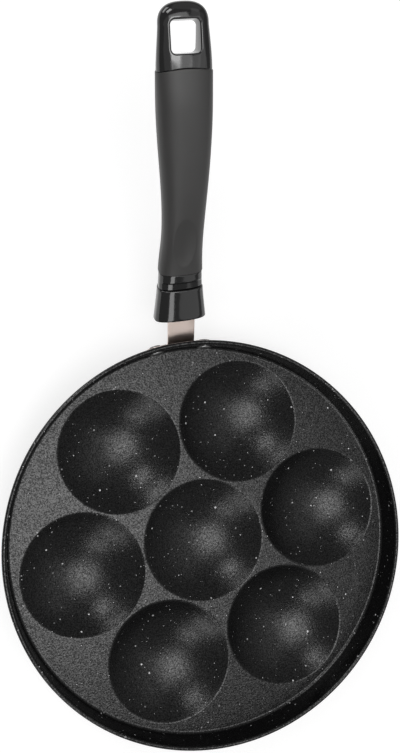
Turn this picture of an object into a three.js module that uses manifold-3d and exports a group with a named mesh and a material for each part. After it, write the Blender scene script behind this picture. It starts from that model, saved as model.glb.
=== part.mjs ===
// Egg pan: a low round pan with seven round wells in its floor and one fixed, riveted handle.
// Millimetres, +Z up. The origin is the middle of the centre well's flat foot, on the hob.
// The handle runs out along +Y and rises.

import * as THREE from "three";
import { mergeVertices } from "three/addons/utils/BufferGeometryUtils.js";
import Module from "manifold-3d";

const degrees = THREE.MathUtils.degToRad;

// Fits between neighbouring pieces
const CLEARANCE = 0.3;
const HOLE_CLEARANCE = 0.3;

// Wells: one in the middle and a ring of six around it
const RING_WELLS = 6;
const WELL_MOUTH_RADIUS = 36.4;
const WELL_DEPTH = 13;
const WELL_GAP = 1.86;
const WELL_LIP_RADIUS = 2.4;
const WELL_WALL = 3;
const WELL_BASE = 4;
const WELL_TURN = degrees(5.3);
const FOOT_RADIUS = 20;
const FOOT_FLANK_RADIUS = 27;

// Floor, wall and rim
const FLOOR_MARGIN = 3.4;
const FLOOR_THICKNESS = 2.5;
const FLOOR_FILLET = 1.9;
const OUTER_CORNER = 5;
const WALL = 1.6;
const WALL_LEAN = degrees(4);
const RIM_RISE = 17.1;
const RIM_BEAD = 1.3;

// Bracket: a curved flange on the wall, and a channel that runs up into the handle as its tongue
const SHEET = 1.5;
const BEND_RADIUS = 5.9;
const TONGUE_WIDTH = 15.8;
const TONGUE_DEPTH = 6;
const TONGUE_TOP = 3.4;
const TONGUE_REACH = 25;
const FLANGE_BORDER = 5;
const FLANGE_CORNER = 4;
const STRAP_RELIEF = 1.2;
const STRAP_ABOVE_RIVETS = 3.6;

// Rivets through wall and flange
const RIVET_SPACING = 29.2;
const RIVET_ABOVE_FILLET = 0.2;
const RIVET_SHANK_RADIUS = 2.5;
const RIVET_HEAD_RADIUS = 4.5;
const RIVET_HEAD_HEIGHT = 1.9;
const RIVET_TAIL_RADIUS = 3.4;
const RIVET_TAIL_HEIGHT = 0.8;

// Handle route: a straight start, then four arcs, given by their rise above level
const HANDLE_REACH = 14.9;
const STRAIGHT_LENGTH = 26;
const STRAIGHT_RISE = degrees(33);
const WAIST_LENGTH = 18;
const WAIST_RISE = degrees(45);
const PALM_LENGTH = 56;
const PALM_RISE = degrees(28.9);
const SEAM_RISE = degrees(28.2);
const TIP_RISE = degrees(18);

// Handle lengths along its route
const GUARD_LENGTH = 19.8;
const NECK_LENGTH = 10.2;
const SLEEVE_LENGTH = 113.3;
const LOOP_LENGTH = 29.8;
const WAIST_FROM_SLEEVE = 24;
const PALM_FROM_SLEEVE = 94;

// Handle sections: width, and how far they rise above and hang below the route
const GUARD_FLARE = 2.2;
const GUARD_RISE_FLARE = 0.8;
const GUARD_BELLY_FLARE = 2.5;
const GUARD_WALL = 2.4;
const GUARD_ROOF = 2.5;
const GUARD_END = 3;
const GUARD_EDGE = 1.5;
const GUARD_SHOULDER = 0.7;
const GUARD_LEAN = degrees(10);
const SPIGOT_WALL = 2.1;
const SPIGOT_FLOOR = 5;
const NECK_WIDTH = 25;
const NECK_RISE = 6.4;
const NECK_BELLY = 12;
const WAIST_WIDTH = 22.9;
const WAIST_TOP = 6.5;
const WAIST_BELLY = 11;
const PALM_WIDTH = 29;
const PALM_TOP = 8.5;
const PALM_BELLY = 12.5;
const SEAM_WIDTH = 29.1;
const SEAM_TOP = 7;
const SEAM_BELLY = 9;
const LOOP_WIDTH = 26.2;
const LOOP_TOP = 5.6;
const LOOP_BELLY = 5.8;
const LOOP_SHOULDER = 10.8;
const TIP_SWEEP = degrees(84);
const SEAM_SWEEP = 2;
const ROUNDNESS = 2.4;
const TIP_ROUNDNESS = 2.6;
const SPIGOT_SQUARENESS = 4;

// Sleeve, groove, thumb rest and hanging hole
const SLEEVE_THICKNESS = 2.2;
const SLEEVE_PROUD = 0.35;
const GROOVE_LENGTH = 4;
const GROOVE_DEPTH = 0.9;
const THUMB_FROM_SLEEVE = 21.5;
const THUMB_LENGTH = 31;
const THUMB_WIDTH = 13.2;
const THUMB_DEPTH = 1.5;
const THUMB_LIFT = 1.95;
const HOLE_WIDTH = 14.8;
const HOLE_LENGTH = 15.2;
const HOLE_CORNER = 2.4;
const HOLE_FROM_TIP = 8.5;
const HOLE_TILT = degrees(17.5);

// Screw from below, its lock washer and the nut inside the tongue
const SCREW_FROM_MOUTH = 10.5;
const SCREW_RADIUS = 2.5;
const SCREW_HEAD_RADIUS = 4.4;
const SCREW_CROWN_RADIUS = 3.5;
const SCREW_HEAD_HEIGHT = 2.2;
const SCREW_TIP_CHAMFER = 0.6;
const SLOT_WIDTH = 1.2;
const SLOT_DEPTH = 1;
const SEAT_WALL = 1.6;
const GUARD_BELLY_COVER = 2.7;
const WASHER_RADIUS = 4.1;
const WASHER_THICKNESS = 1.1;
const WASHER_SPLIT = 0.8;
const NUT_SIDE = 8;
const NUT_HEIGHT = 4;

// Facets
const PAN_SIDES = 64;
const WELL_SIDES = 32;
const HANDLE_SIDES = 24;
const SMALL_SIDES = 16;
const CORNER_STEPS = 3;
const RIM_STEPS = 6;
const FLANK_STEPS = 3;
const BOWL_STEPS = 6;
const LIP_STEPS = 2;
const DOME_STEPS = 4;
const BEND_STEPS = 5;
const OUTLINE_STEPS = 4;
const EDGE_STEPS = 3;
const SHOULDER_STEPS = 2;
const TIP_STEPS = 6;
const RING_STEP = 7;

// Heights and radii that follow from the driving sizes
const FLOOR_Z = WELL_BASE + WELL_DEPTH;
const FLOOR_UNDER_Z = FLOOR_Z - FLOOR_THICKNESS;
const RIM_Z = FLOOR_Z + RIM_RISE;
const RING_RADIUS = 2 * WELL_MOUTH_RADIUS + WELL_GAP;
const WALL_FOOT_RADIUS = RING_RADIUS + WELL_MOUTH_RADIUS + FLOOR_MARGIN + FLOOR_FILLET;
const BEAD_Z = RIM_Z - RIM_BEAD;
const RIM_RADIUS = wallRadius(BEAD_Z) + 2 * RIM_BEAD;
const BOWL_RADIUS = (WELL_MOUTH_RADIUS ** 2 + WELL_DEPTH ** 2) / (2 * WELL_DEPTH);
const BOWL_CENTRE_Z = FLOOR_Z - WELL_DEPTH + BOWL_RADIUS;

// The rivets sit on the straight wall above the fillet, and the strap leaves the wall above them
const RIVET_Z = FLOOR_Z + FLOOR_FILLET + RIVET_HEAD_RADIUS + RIVET_ABOVE_FILLET;
const STRAP_Z = RIVET_Z + STRAP_ABOVE_RIVETS;
const STRAP_Y = flangeRadius(STRAP_Z);

// The handle starts where the strap, rising from the wall, has the tongue's place in the guard
const HANDLE_Y = RIM_RADIUS + HANDLE_REACH;
const TONGUE_Y = HANDLE_Y - TONGUE_TOP * Math.sin(STRAIGHT_RISE);
const TONGUE_Z = STRAP_Z + Math.tan(STRAIGHT_RISE) * (TONGUE_Y - STRAP_Y);
const HANDLE_Z = TONGUE_Z - TONGUE_TOP * Math.cos(STRAIGHT_RISE);

const wasm = await Module();
wasm.setup();

// A closed geometry as a solid that can be joined and cut
function solid(geometry) {
  const bare = geometry.index ? geometry.toNonIndexed() : geometry.clone();
  bare.deleteAttribute("normal");
  bare.deleteAttribute("uv");
  const merged = mergeVertices(bare);
  const index = Array.from(merged.index.array);
  const corners = [];
  for (let i = 0; i < index.length; i += 3) {
    const [a, b, c] = index.slice(i, i + 3);
    if (a !== b && b !== c && c !== a) corners.push(a, b, c);
  }
  const vertProperties = Float32Array.from(merged.attributes.position.array);
  const triVerts = Uint32Array.from(corners);
  return new wasm.Manifold(new wasm.Mesh({ numProp: 3, vertProperties, triVerts }));
}

// A solid as the geometry of a mesh
function shapeOf(body) {
  const mesh = body.getMesh();
  const geometry = new THREE.BufferGeometry();
  geometry.setAttribute("position", new THREE.BufferAttribute(mesh.vertProperties, 3));
  geometry.setIndex(new THREE.BufferAttribute(mesh.triVerts, 1));
  geometry.computeVertexNormals();
  return geometry;
}

// Points along an arc in a profile, from one angle to another
function arc(centreX, centreY, radius, from, to, steps) {
  const points = [];
  for (let i = 0; i <= steps; i++) {
    const angle = from + ((to - from) * i) / steps;
    points.push(new THREE.Vector2(centreX + radius * Math.cos(angle), centreY + radius * Math.sin(angle)));
  }
  return points;
}

// A profile of radius and height, written anticlockwise, turned around the Z axis
function turned(profile, sides) {
  return new THREE.LatheGeometry(profile, sides).rotateX(Math.PI / 2);
}

// Inside radius of the pan's wall at a height
function wallRadius(z) {
  return WALL_FOOT_RADIUS + (z - FLOOR_Z) * Math.tan(WALL_LEAN);
}

// Inside radius of the bracket's flange, which follows the wall
function flangeRadius(z) {
  return wallRadius(z) + WALL + CLEARANCE;
}

// Floor plate, wall and the bead that stiffens the rim, without the wells
function panShell() {
  const underBead = -Math.acos((WALL - RIM_BEAD) / RIM_BEAD);
  const cornerR = wallRadius(FLOOR_UNDER_Z + OUTER_CORNER) + WALL - OUTER_CORNER;
  const filletR = wallRadius(FLOOR_Z + FLOOR_FILLET) - FLOOR_FILLET;
  const profile = [
    new THREE.Vector2(0, FLOOR_UNDER_Z),
    ...arc(cornerR, FLOOR_UNDER_Z + OUTER_CORNER, OUTER_CORNER, -Math.PI / 2, 0, CORNER_STEPS),
    ...arc(RIM_RADIUS - RIM_BEAD, BEAD_Z, RIM_BEAD, underBead, Math.PI - WALL_LEAN, RIM_STEPS),
    ...arc(filletR, FLOOR_Z + FLOOR_FILLET, FLOOR_FILLET, 0, -Math.PI / 2, CORNER_STEPS),
    new THREE.Vector2(0, FLOOR_Z),
  ];
  return solid(turned(profile, PAN_SIDES));
}

// Outside of one well: a bowl on a flat round foot, its top buried in the floor plate
function wellOutside() {
  const outside = BOWL_RADIUS + WELL_WALL;
  const topZ = FLOOR_Z - FLOOR_THICKNESS / 2;
  const flank = -Math.acos(FOOT_FLANK_RADIUS / outside);
  const top = Math.asin((topZ - BOWL_CENTRE_Z) / outside);
  const profile = [
    new THREE.Vector2(0, 0),
    new THREE.Vector2(FOOT_RADIUS, 0),
    ...arc(0, BOWL_CENTRE_Z, outside, flank, top, FLANK_STEPS),
    new THREE.Vector2(0, topZ),
  ];
  return solid(turned(profile, WELL_SIDES));
}

// Inside of one well: a round bowl with a soft lip, carried on upwards to clear the floor
function wellInside() {
  const mouthAngle = -Math.acos(WELL_MOUTH_RADIUS / BOWL_RADIUS);
  const slope = mouthAngle + Math.PI / 2;
  const lipRun = WELL_LIP_RADIUS * Math.tan(slope / 2);
  const lipR = WELL_MOUTH_RADIUS + lipRun;
  const lipZ = FLOOR_Z - WELL_LIP_RADIUS;
  const bowlEnd = mouthAngle - lipRun / BOWL_RADIUS;
  const profile = [
    ...arc(0, BOWL_CENTRE_Z, BOWL_RADIUS, -Math.PI / 2, bowlEnd, BOWL_STEPS),
    ...arc(lipR, lipZ, WELL_LIP_RADIUS, slope + Math.PI / 2, Math.PI / 2, LIP_STEPS).slice(1),
    new THREE.Vector2(lipR, FLOOR_Z + WELL_LIP_RADIUS),
    new THREE.Vector2(0, FLOOR_Z + WELL_LIP_RADIUS),
  ];
  profile[0].x = 0;
  return solid(turned(profile, WELL_SIDES));
}

function wellPlaces() {
  const places = [new THREE.Vector2(0, 0)];
  for (let k = 0; k < RING_WELLS; k++) {
    const angle = WELL_TURN + (k * 2 * Math.PI) / RING_WELLS;
    places.push(new THREE.Vector2(Math.cos(angle), Math.sin(angle)).multiplyScalar(RING_RADIUS));
  }
  return places;
}

// Handle route: distance along it gives a place in the YZ plane and a rise
const SLEEVE_START = GUARD_LENGTH + NECK_LENGTH;
const SLEEVE_END = SLEEVE_START + SLEEVE_LENGTH;
const HANDLE_LENGTH = SLEEVE_END + LOOP_LENGTH;
const BACK_LENGTH = SLEEVE_END - STRAIGHT_LENGTH - WAIST_LENGTH - PALM_LENGTH;
const ROUTE = [
  { length: STRAIGHT_LENGTH, from: STRAIGHT_RISE, to: STRAIGHT_RISE },
  { length: WAIST_LENGTH, from: STRAIGHT_RISE, to: WAIST_RISE },
  { length: PALM_LENGTH, from: WAIST_RISE, to: PALM_RISE },
  { length: BACK_LENGTH, from: PALM_RISE, to: SEAM_RISE },
  { length: LOOP_LENGTH, from: SEAM_RISE, to: TIP_RISE },
];

function alongStretch(stretch, distance) {
  const turn = ((stretch.to - stretch.from) * distance) / stretch.length;
  const half = turn / 2;
  const chord = half === 0 ? distance : (distance * Math.sin(half)) / half;
  const heading = stretch.from + half;
  return { y: chord * Math.cos(heading), z: chord * Math.sin(heading), rise: stretch.from + turn };
}

function routeAt(distance) {
  const here = { y: HANDLE_Y, z: HANDLE_Z, rise: STRAIGHT_RISE };
  let left = distance;
  for (const stretch of ROUTE) {
    const last = stretch === ROUTE[ROUTE.length - 1];
    const step = alongStretch(stretch, last ? left : Math.min(left, stretch.length));
    here.y += step.y;
    here.z += step.z;
    here.rise = step.rise;
    left -= stretch.length;
    if (left <= 0) break;
  }
  return here;
}

// The point at a distance along the handle, x to its side and up away from its route
function onHandle(x, distance, up) {
  const here = routeAt(distance);
  return new THREE.Vector3(x, here.y - up * Math.sin(here.rise), here.z + up * Math.cos(here.rise));
}

// A frame on the route: X across the handle, Y along it, Z away from its top
function handleFrame(distance) {
  const { y, z, rise } = routeAt(distance);
  return new THREE.Matrix4().makeRotationX(rise).setPosition(0, y, z);
}

// Bracket, spigot and guard share these sizes, so each fits inside the next
const POCKET_HALF = TONGUE_WIDTH / 2 + CLEARANCE;
const POCKET_FLOOR = TONGUE_TOP - TONGUE_DEPTH - CLEARANCE;
const SPIGOT = {
  half: POCKET_HALF + SPIGOT_WALL,
  top: TONGUE_TOP,
  belly: SPIGOT_FLOOR - POCKET_FLOOR,
};
const CAVITY = {
  half: SPIGOT.half + CLEARANCE,
  top: SPIGOT.top + CLEARANCE,
  belly: SPIGOT.belly + CLEARANCE,
};
const SEAT = -(CAVITY.belly + SEAT_WALL);
const WASHER_TOP = SEAT - CLEARANCE;
const HEAD_TOP = WASHER_TOP - WASHER_THICKNESS - CLEARANCE;
const GUARD_TOP = {
  half: CAVITY.half + GUARD_WALL,
  top: CAVITY.top + GUARD_ROOF,
  belly: GUARD_BELLY_COVER - SEAT,
};
const GUARD_MOUTH = {
  half: GUARD_TOP.half + GUARD_FLARE,
  top: GUARD_TOP.top + GUARD_RISE_FLARE,
  belly: GUARD_TOP.belly + GUARD_BELLY_FLARE,
};

// Sections of the outer skin along the handle
const SKIN = [
  { at: 0, ...GUARD_MOUTH },
  { at: GUARD_LENGTH, ...GUARD_TOP },
  { at: SLEEVE_START, half: NECK_WIDTH / 2, top: NECK_RISE, belly: NECK_BELLY },
  { at: SLEEVE_START + WAIST_FROM_SLEEVE, half: WAIST_WIDTH / 2, top: WAIST_TOP, belly: WAIST_BELLY },
  { at: SLEEVE_START + PALM_FROM_SLEEVE, half: PALM_WIDTH / 2, top: PALM_TOP, belly: PALM_BELLY },
  { at: SLEEVE_END, half: SEAM_WIDTH / 2, top: SEAM_TOP, belly: SEAM_BELLY },
  { at: HANDLE_LENGTH - LOOP_SHOULDER, half: LOOP_WIDTH / 2, top: LOOP_TOP, belly: LOOP_BELLY },
];

// A smooth curve through the sections that never overshoots them
function skinSize(distance, key) {
  const last = SKIN.length - 1;
  const s = THREE.MathUtils.clamp(distance, SKIN[0].at, SKIN[last].at);
  let i = 0;
  while (i < last - 1 && s > SKIN[i + 1].at) i++;
  const grade = (k) => (SKIN[k + 1][key] - SKIN[k][key]) / (SKIN[k + 1].at - SKIN[k].at);
  const tangent = (k) => {
    if (k === 0) return grade(0);
    if (k === last) return grade(last - 1);
    const [before, after] = [grade(k - 1), grade(k)];
    return before * after <= 0 ? 0 : (2 * before * after) / (before + after);
  };
  const span = SKIN[i + 1].at - SKIN[i].at;
  const t = (s - SKIN[i].at) / span;
  const start = SKIN[i][key] * (2 * t ** 3 - 3 * t ** 2 + 1) + span * tangent(i) * (t ** 3 - 2 * t ** 2 + t);
  const end = SKIN[i + 1][key] * (3 * t ** 2 - 2 * t ** 3) + span * tangent(i + 1) * (t ** 3 - t ** 2);
  return start + end;
}

function skinAt(distance, inset) {
  return {
    half: skinSize(distance, "half") - inset,
    top: skinSize(distance, "top") - inset,
    belly: skinSize(distance, "belly") - inset,
  };
}

// The loop's seam bows towards the tip; the bow fades out along the palm and along the loop
function sweepAt(distance) {
  const palmAt = SLEEVE_START + PALM_FROM_SLEEVE;
  const loopAt = HANDLE_LENGTH - LOOP_SHOULDER;
  const coming = THREE.MathUtils.smoothstep(distance, palmAt, SLEEVE_END);
  const going = THREE.MathUtils.smoothstep(distance, SLEEVE_END, loopAt);
  return SEAM_SWEEP * (coming - going);
}

// One ring of a handle section: a rounded outline, flatter on top than below, that may lean back
function ring(distance, size, roundness, lean = 0) {
  const points = [];
  const sweep = sweepAt(distance);
  const bulge = (value) => Math.sign(value) * Math.abs(value) ** (2 / roundness);
  for (let k = 0; k < HANDLE_SIDES; k++) {
    const angle = (2 * Math.PI * k) / HANDLE_SIDES;
    const across = bulge(Math.cos(angle));
    const side = bulge(Math.sin(angle));
    const up = side * (side > 0 ? size.top : size.belly);
    const forward = (size.top - up) * Math.tan(lean) + sweep * across ** 2;
    points.push(onHandle(across * size.half, distance - forward, up));
  }
  return points;
}

// A closed skin over a row of rings, with a flat cap at each end
function loft(rings) {
  const sides = rings[0].length;
  const middle = (points) => points.reduce((sum, p) => sum.add(p), new THREE.Vector3()).divideScalar(sides);
  const points = [...rings.flat(), middle(rings[0]), middle(rings[rings.length - 1])];
  const startCap = points.length - 2;
  const endCap = points.length - 1;
  const endRing = (rings.length - 1) * sides;
  const corners = [];
  for (let k = 0; k < sides; k++) {
    const next = (k + 1) % sides;
    for (let r = 0; r < rings.length - 1; r++) {
      const [a, b] = [r * sides + k, r * sides + next];
      corners.push(a, b + sides, b, a, a + sides, b + sides);
    }
    corners.push(startCap, k, next, endCap, endRing + next, endRing + k);
  }
  const geometry = new THREE.BufferGeometry().setFromPoints(points);
  geometry.setIndex(corners);
  return solid(geometry);
}

// Evenly spaced distances from one place to another, both included
function spaced(from, to) {
  const count = Math.max(1, Math.round((to - from) / RING_STEP));
  return Array.from({ length: count + 1 }, (_, i) => from + ((to - from) * i) / count);
}

// A box in a handle frame, from its low to its high corner
function boxInFrame(frame, low, high) {
  const size = new THREE.Vector3().subVectors(high, low);
  const middle = new THREE.Vector3().addVectors(low, high).multiplyScalar(0.5);
  const box = new THREE.BoxGeometry(size.x, size.y, size.z).translate(middle.x, middle.y, middle.z);
  return solid(box.applyMatrix4(frame));
}

// A turned form whose axis stands on the handle's route at the screw
function atScrew(profile) {
  return solid(turned(profile, SMALL_SIDES).applyMatrix4(handleFrame(SCREW_FROM_MOUTH)));
}

function drum(radius, low, high) {
  return [
    new THREE.Vector2(0, low),
    new THREE.Vector2(radius, low),
    new THREE.Vector2(radius, high),
    new THREE.Vector2(0, high),
  ];
}

// The space that the tongue takes up in guard and core
function tonguePocket() {
  const low = new THREE.Vector3(-POCKET_HALF, -GUARD_END, POCKET_FLOOR);
  const high = new THREE.Vector3(POCKET_HALF, TONGUE_REACH + CLEARANCE, TONGUE_TOP + CLEARANCE);
  return boxInFrame(handleFrame(0), low, high);
}

// A frame on the wall's inner face at a rivet: Z points outwards through the wall
function rivetFrame(side) {
  const inside = wallRadius(RIVET_Z);
  const turn = Math.asin((side * RIVET_SPACING) / (2 * inside));
  const outward = new THREE.Vector3(Math.sin(turn), Math.cos(turn), -Math.tan(WALL_LEAN)).normalize();
  const across = new THREE.Vector3(Math.cos(turn), -Math.sin(turn), 0);
  const upward = new THREE.Vector3().crossVectors(outward, across);
  const place = [inside * Math.sin(turn), inside * Math.cos(turn), RIVET_Z];
  return new THREE.Matrix4().makeBasis(across, upward, outward).setPosition(...place);
}

function rivetHole(side) {
  const reach = WALL + 2 * SHEET + RIVET_HEAD_RADIUS;
  const profile = drum(RIVET_SHANK_RADIUS + HOLE_CLEARANCE, -RIVET_HEAD_RADIUS, reach);
  return solid(turned(profile, SMALL_SIDES).applyMatrix4(rivetFrame(side)));
}

// A rivet: domed head inside the wall, shank, and a smaller upset tail outside the flange
function rivet(side) {
  const tail = WALL + 2 * CLEARANCE + SHEET + CLEARANCE;
  const dome = (radius, seat, height, from, to) => arc(0, 0, 1, from, to, DOME_STEPS)
    .map((p) => new THREE.Vector2(Math.abs(radius * p.x), seat + height * p.y));
  const profile = [
    ...dome(RIVET_HEAD_RADIUS, -CLEARANCE, RIVET_HEAD_HEIGHT, -Math.PI / 2, 0),
    new THREE.Vector2(RIVET_SHANK_RADIUS, -CLEARANCE),
    new THREE.Vector2(RIVET_SHANK_RADIUS, tail),
    ...dome(RIVET_TAIL_RADIUS, tail, RIVET_TAIL_HEIGHT, 0, Math.PI / 2),
  ];
  return solid(turned(profile, SMALL_SIDES).applyMatrix4(rivetFrame(side)));
}

function panBody() {
  let body = panShell();
  for (const place of wellPlaces()) body = body.add(wellOutside().translate([place.x, place.y, 0]));
  for (const place of wellPlaces()) body = body.subtract(wellInside().translate([place.x, place.y, 0]));
  return body.subtract(rivetHole(-1)).subtract(rivetHole(1));
}

// The flange: a band of the wall's own cone, cut to a rounded outline with a relief for the strap
function flange() {
  const low = RIVET_Z - FLANGE_BORDER;
  const high = RIVET_Z + FLANGE_BORDER;
  const band = solid(turned([
    new THREE.Vector2(flangeRadius(low), low),
    new THREE.Vector2(flangeRadius(low) + SHEET, low),
    new THREE.Vector2(flangeRadius(high) + SHEET, high),
    new THREE.Vector2(flangeRadius(high), high),
    new THREE.Vector2(flangeRadius(low), low),
  ], PAN_SIDES));
  const half = RIVET_SPACING / 2 + FLANGE_BORDER;
  const relief = TONGUE_WIDTH / 2 + STRAP_RELIEF;
  const reliefZ = bendStart().z - STRAP_RELIEF;
  const outline = new THREE.Shape();
  outline.moveTo(-half, low + FLANGE_CORNER);
  outline.absarc(-half + FLANGE_CORNER, low + FLANGE_CORNER, FLANGE_CORNER, Math.PI, 1.5 * Math.PI);
  outline.absarc(half - FLANGE_CORNER, low + FLANGE_CORNER, FLANGE_CORNER, 1.5 * Math.PI, 2 * Math.PI);
  outline.absarc(half - FLANGE_CORNER, high - FLANGE_CORNER, FLANGE_CORNER, 0, Math.PI / 2);
  outline.lineTo(relief, high);
  outline.lineTo(relief, reliefZ);
  outline.lineTo(-relief, reliefZ);
  outline.lineTo(-relief, high);
  outline.absarc(-half + FLANGE_CORNER, high - FLANGE_CORNER, FLANGE_CORNER, Math.PI / 2, Math.PI);
  const stamp = { depth: RIM_RADIUS, bevelEnabled: false, curveSegments: OUTLINE_STEPS };
  const plate = new THREE.ExtrudeGeometry(outline, stamp).rotateX(Math.PI / 2);
  return band.intersect(solid(plate.translate(0, RIM_RADIUS + RIM_RADIUS / 2, 0)));
}

// Where the flange's inner face starts to bend out into the strap, and where the bend ends
function bendRun() {
  const turn = Math.PI / 2 - WALL_LEAN - STRAIGHT_RISE;
  return (BEND_RADIUS + SHEET) * Math.tan(turn / 2);
}

function bendStart() {
  const run = bendRun();
  return {
    y: STRAP_Y - run * Math.sin(WALL_LEAN),
    z: STRAP_Z - run * Math.cos(WALL_LEAN),
  };
}

// The strap's web in side view: up the wall, round the bend, and straight up into the handle
function strapWeb() {
  const start = bendStart();
  const away = { y: Math.cos(WALL_LEAN), z: -Math.sin(WALL_LEAN) };
  const centre = {
    y: start.y + (BEND_RADIUS + SHEET) * away.y,
    z: start.z + (BEND_RADIUS + SHEET) * away.z,
  };
  const lowZ = RIVET_Z - FLANGE_BORDER + SHEET;
  const lowY = flangeRadius(lowZ);
  const endTop = onHandle(0, TONGUE_REACH, TONGUE_TOP);
  const endUnder = onHandle(0, TONGUE_REACH, TONGUE_TOP - SHEET);
  const from = Math.PI - WALL_LEAN;
  const to = Math.PI / 2 + STRAIGHT_RISE;
  const side = new THREE.Shape([
    new THREE.Vector2(lowY + SHEET * away.y, lowZ + SHEET * away.z),
    ...arc(centre.y, centre.z, BEND_RADIUS, from, to, BEND_STEPS),
    new THREE.Vector2(endUnder.y, endUnder.z),
    new THREE.Vector2(endTop.y, endTop.z),
    ...arc(centre.y, centre.z, BEND_RADIUS + SHEET, to, from, BEND_STEPS),
    new THREE.Vector2(lowY, lowZ),
  ]);
  const web = new THREE.ExtrudeGeometry(side, { depth: TONGUE_WIDTH, bevelEnabled: false });
  const stand = new THREE.Matrix4().set(0, 0, 1, -TONGUE_WIDTH / 2, 1, 0, 0, 0, 0, 1, 0, 0, 0, 0, 0, 1);
  return solid(web.applyMatrix4(stand));
}

// The channel's folded-down sides, from inside the guard's front to the tongue's end
function strapSide(side) {
  const outer = (side * TONGUE_WIDTH) / 2;
  const inner = outer - side * SHEET;
  const low = new THREE.Vector3(Math.min(outer, inner), GUARD_END, TONGUE_TOP - TONGUE_DEPTH);
  const high = new THREE.Vector3(Math.max(outer, inner), TONGUE_REACH, TONGUE_TOP - SHEET / 2);
  return boxInFrame(handleFrame(0), low, high);
}

function handleBracket() {
  const screwHole = drum(SCREW_RADIUS + HOLE_CLEARANCE, TONGUE_TOP - TONGUE_DEPTH, TONGUE_TOP + SHEET);
  return flange()
    .add(strapWeb())
    .add(strapSide(-1))
    .add(strapSide(1))
    .subtract(atScrew(screwHole))
    .subtract(rivetHole(-1))
    .subtract(rivetHole(1));
}

// The guard: a flared cup over the core's spigot, slotted for the tongue, seated for the screw.
// Its mouth leans, so that its belly reaches nearer to the pan than its top.
function flameGuard() {
  const leanAt = (distance) => GUARD_LEAN * (1 - THREE.MathUtils.smoothstep(distance, 0, GUARD_LENGTH));
  const section = (distance, inset) => ring(distance, skinAt(distance, inset), ROUNDNESS, leanAt(distance));
  const mouth = arc(GUARD_EDGE, GUARD_EDGE, GUARD_EDGE, Math.PI, Math.PI / 2, EDGE_STEPS);
  const shoulder = arc(GUARD_SHOULDER, GUARD_SHOULDER, GUARD_SHOULDER, Math.PI / 2, Math.PI, SHOULDER_STEPS);
  const skin = loft([
    ...mouth.map((p) => section(p.x, 2 * GUARD_EDGE - p.y)),
    section(GUARD_LENGTH / 2, 0),
    ...shoulder.map((p) => section(GUARD_LENGTH - p.x, 2 * GUARD_SHOULDER - p.y)),
  ]);
  const cavity = loft([
    ring(GUARD_END, CAVITY, SPIGOT_SQUARENESS),
    ring(GUARD_LENGTH + GUARD_SHOULDER, CAVITY, SPIGOT_SQUARENESS),
  ]);
  const below = -(GUARD_MOUTH.belly + GUARD_EDGE);
  const counterbore = atScrew(drum(SCREW_HEAD_RADIUS + HOLE_CLEARANCE, below, SEAT));
  const screwHole = atScrew(drum(SCREW_RADIUS + HOLE_CLEARANCE, SEAT - SEAT_WALL, SEAT + 2 * SEAT_WALL));
  return skin.subtract(cavity).subtract(tonguePocket()).subtract(counterbore).subtract(screwHole);
}

// The loop's rounded end: its sections shrink along the same rounded curve that they are drawn with
function tipRing(distance) {
  const t = (distance - (HANDLE_LENGTH - LOOP_SHOULDER)) / LOOP_SHOULDER;
  const left = (1 - t ** TIP_ROUNDNESS) ** (1 / TIP_ROUNDNESS);
  const { half, top, belly } = skinAt(distance, SLEEVE_PROUD);
  return ring(distance, { half: half * left, top: top * left, belly: belly * left }, ROUNDNESS);
}

// The core: a spigot in the guard, the neck with its groove, a spine in the sleeve, and the loop
function handleCore() {
  const shown = (distance) => ring(distance, skinAt(distance, SLEEVE_PROUD), ROUNDNESS);
  const covered = (distance) => ring(distance, skinAt(distance, SLEEVE_THICKNESS + CLEARANCE), ROUNDNESS);
  const grooved = (distance) => {
    const size = skinAt(distance, SLEEVE_PROUD);
    return ring(distance, { ...size, top: size.top - GROOVE_DEPTH }, ROUNDNESS);
  };
  const neckStart = GUARD_LENGTH + CLEARANCE;
  const grooveEnd = neckStart + GROOVE_LENGTH;
  const neckEnd = SLEEVE_START - CLEARANCE;
  const loopStart = SLEEVE_END + CLEARANCE;
  const shoulder = HANDLE_LENGTH - LOOP_SHOULDER;
  const tip = arc(0, 0, LOOP_SHOULDER, 0, TIP_SWEEP, TIP_STEPS).slice(1).map((p) => tipRing(shoulder + p.y));
  const body = loft([
    ring(GUARD_END + CLEARANCE, SPIGOT, SPIGOT_SQUARENESS),
    ring(neckStart, SPIGOT, SPIGOT_SQUARENESS),
    grooved(neckStart),
    grooved(grooveEnd),
    shown(grooveEnd + GROOVE_DEPTH),
    shown(neckEnd),
    ...spaced(neckEnd, loopStart).map(covered),
    ...spaced(loopStart, shoulder).map(shown),
    ...tip,
  ]);
  const screwHole = atScrew(drum(SCREW_RADIUS + HOLE_CLEARANCE, -2 * SPIGOT.belly, POCKET_FLOOR + CLEARANCE));
  return body.subtract(tonguePocket()).subtract(screwHole).subtract(hangingHole());
}

// The hanging hole: a rounded square through the loop, nearer to upright than the loop's own normal
function hangingHole() {
  const middle = HANDLE_LENGTH - HOLE_FROM_TIP - HOLE_LENGTH / 2;
  const [w, l, r] = [HOLE_WIDTH / 2, HOLE_LENGTH / 2, HOLE_CORNER];
  const outline = new THREE.Shape();
  outline.moveTo(-w, -l + r);
  outline.absarc(-w + r, -l + r, r, Math.PI, 1.5 * Math.PI);
  outline.absarc(w - r, -l + r, r, 1.5 * Math.PI, 2 * Math.PI);
  outline.absarc(w - r, l - r, r, 0, Math.PI / 2);
  outline.absarc(-w + r, l - r, r, Math.PI / 2, Math.PI);
  const depth = 4 * (LOOP_TOP + LOOP_BELLY);
  const stamp = { depth, bevelEnabled: false, curveSegments: OUTLINE_STEPS };
  const punch = new THREE.ExtrudeGeometry(outline, stamp);
  const { y, z } = routeAt(middle);
  return solid(punch.translate(0, 0, -depth / 2).rotateX(HOLE_TILT).translate(0, y, z));
}

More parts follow.
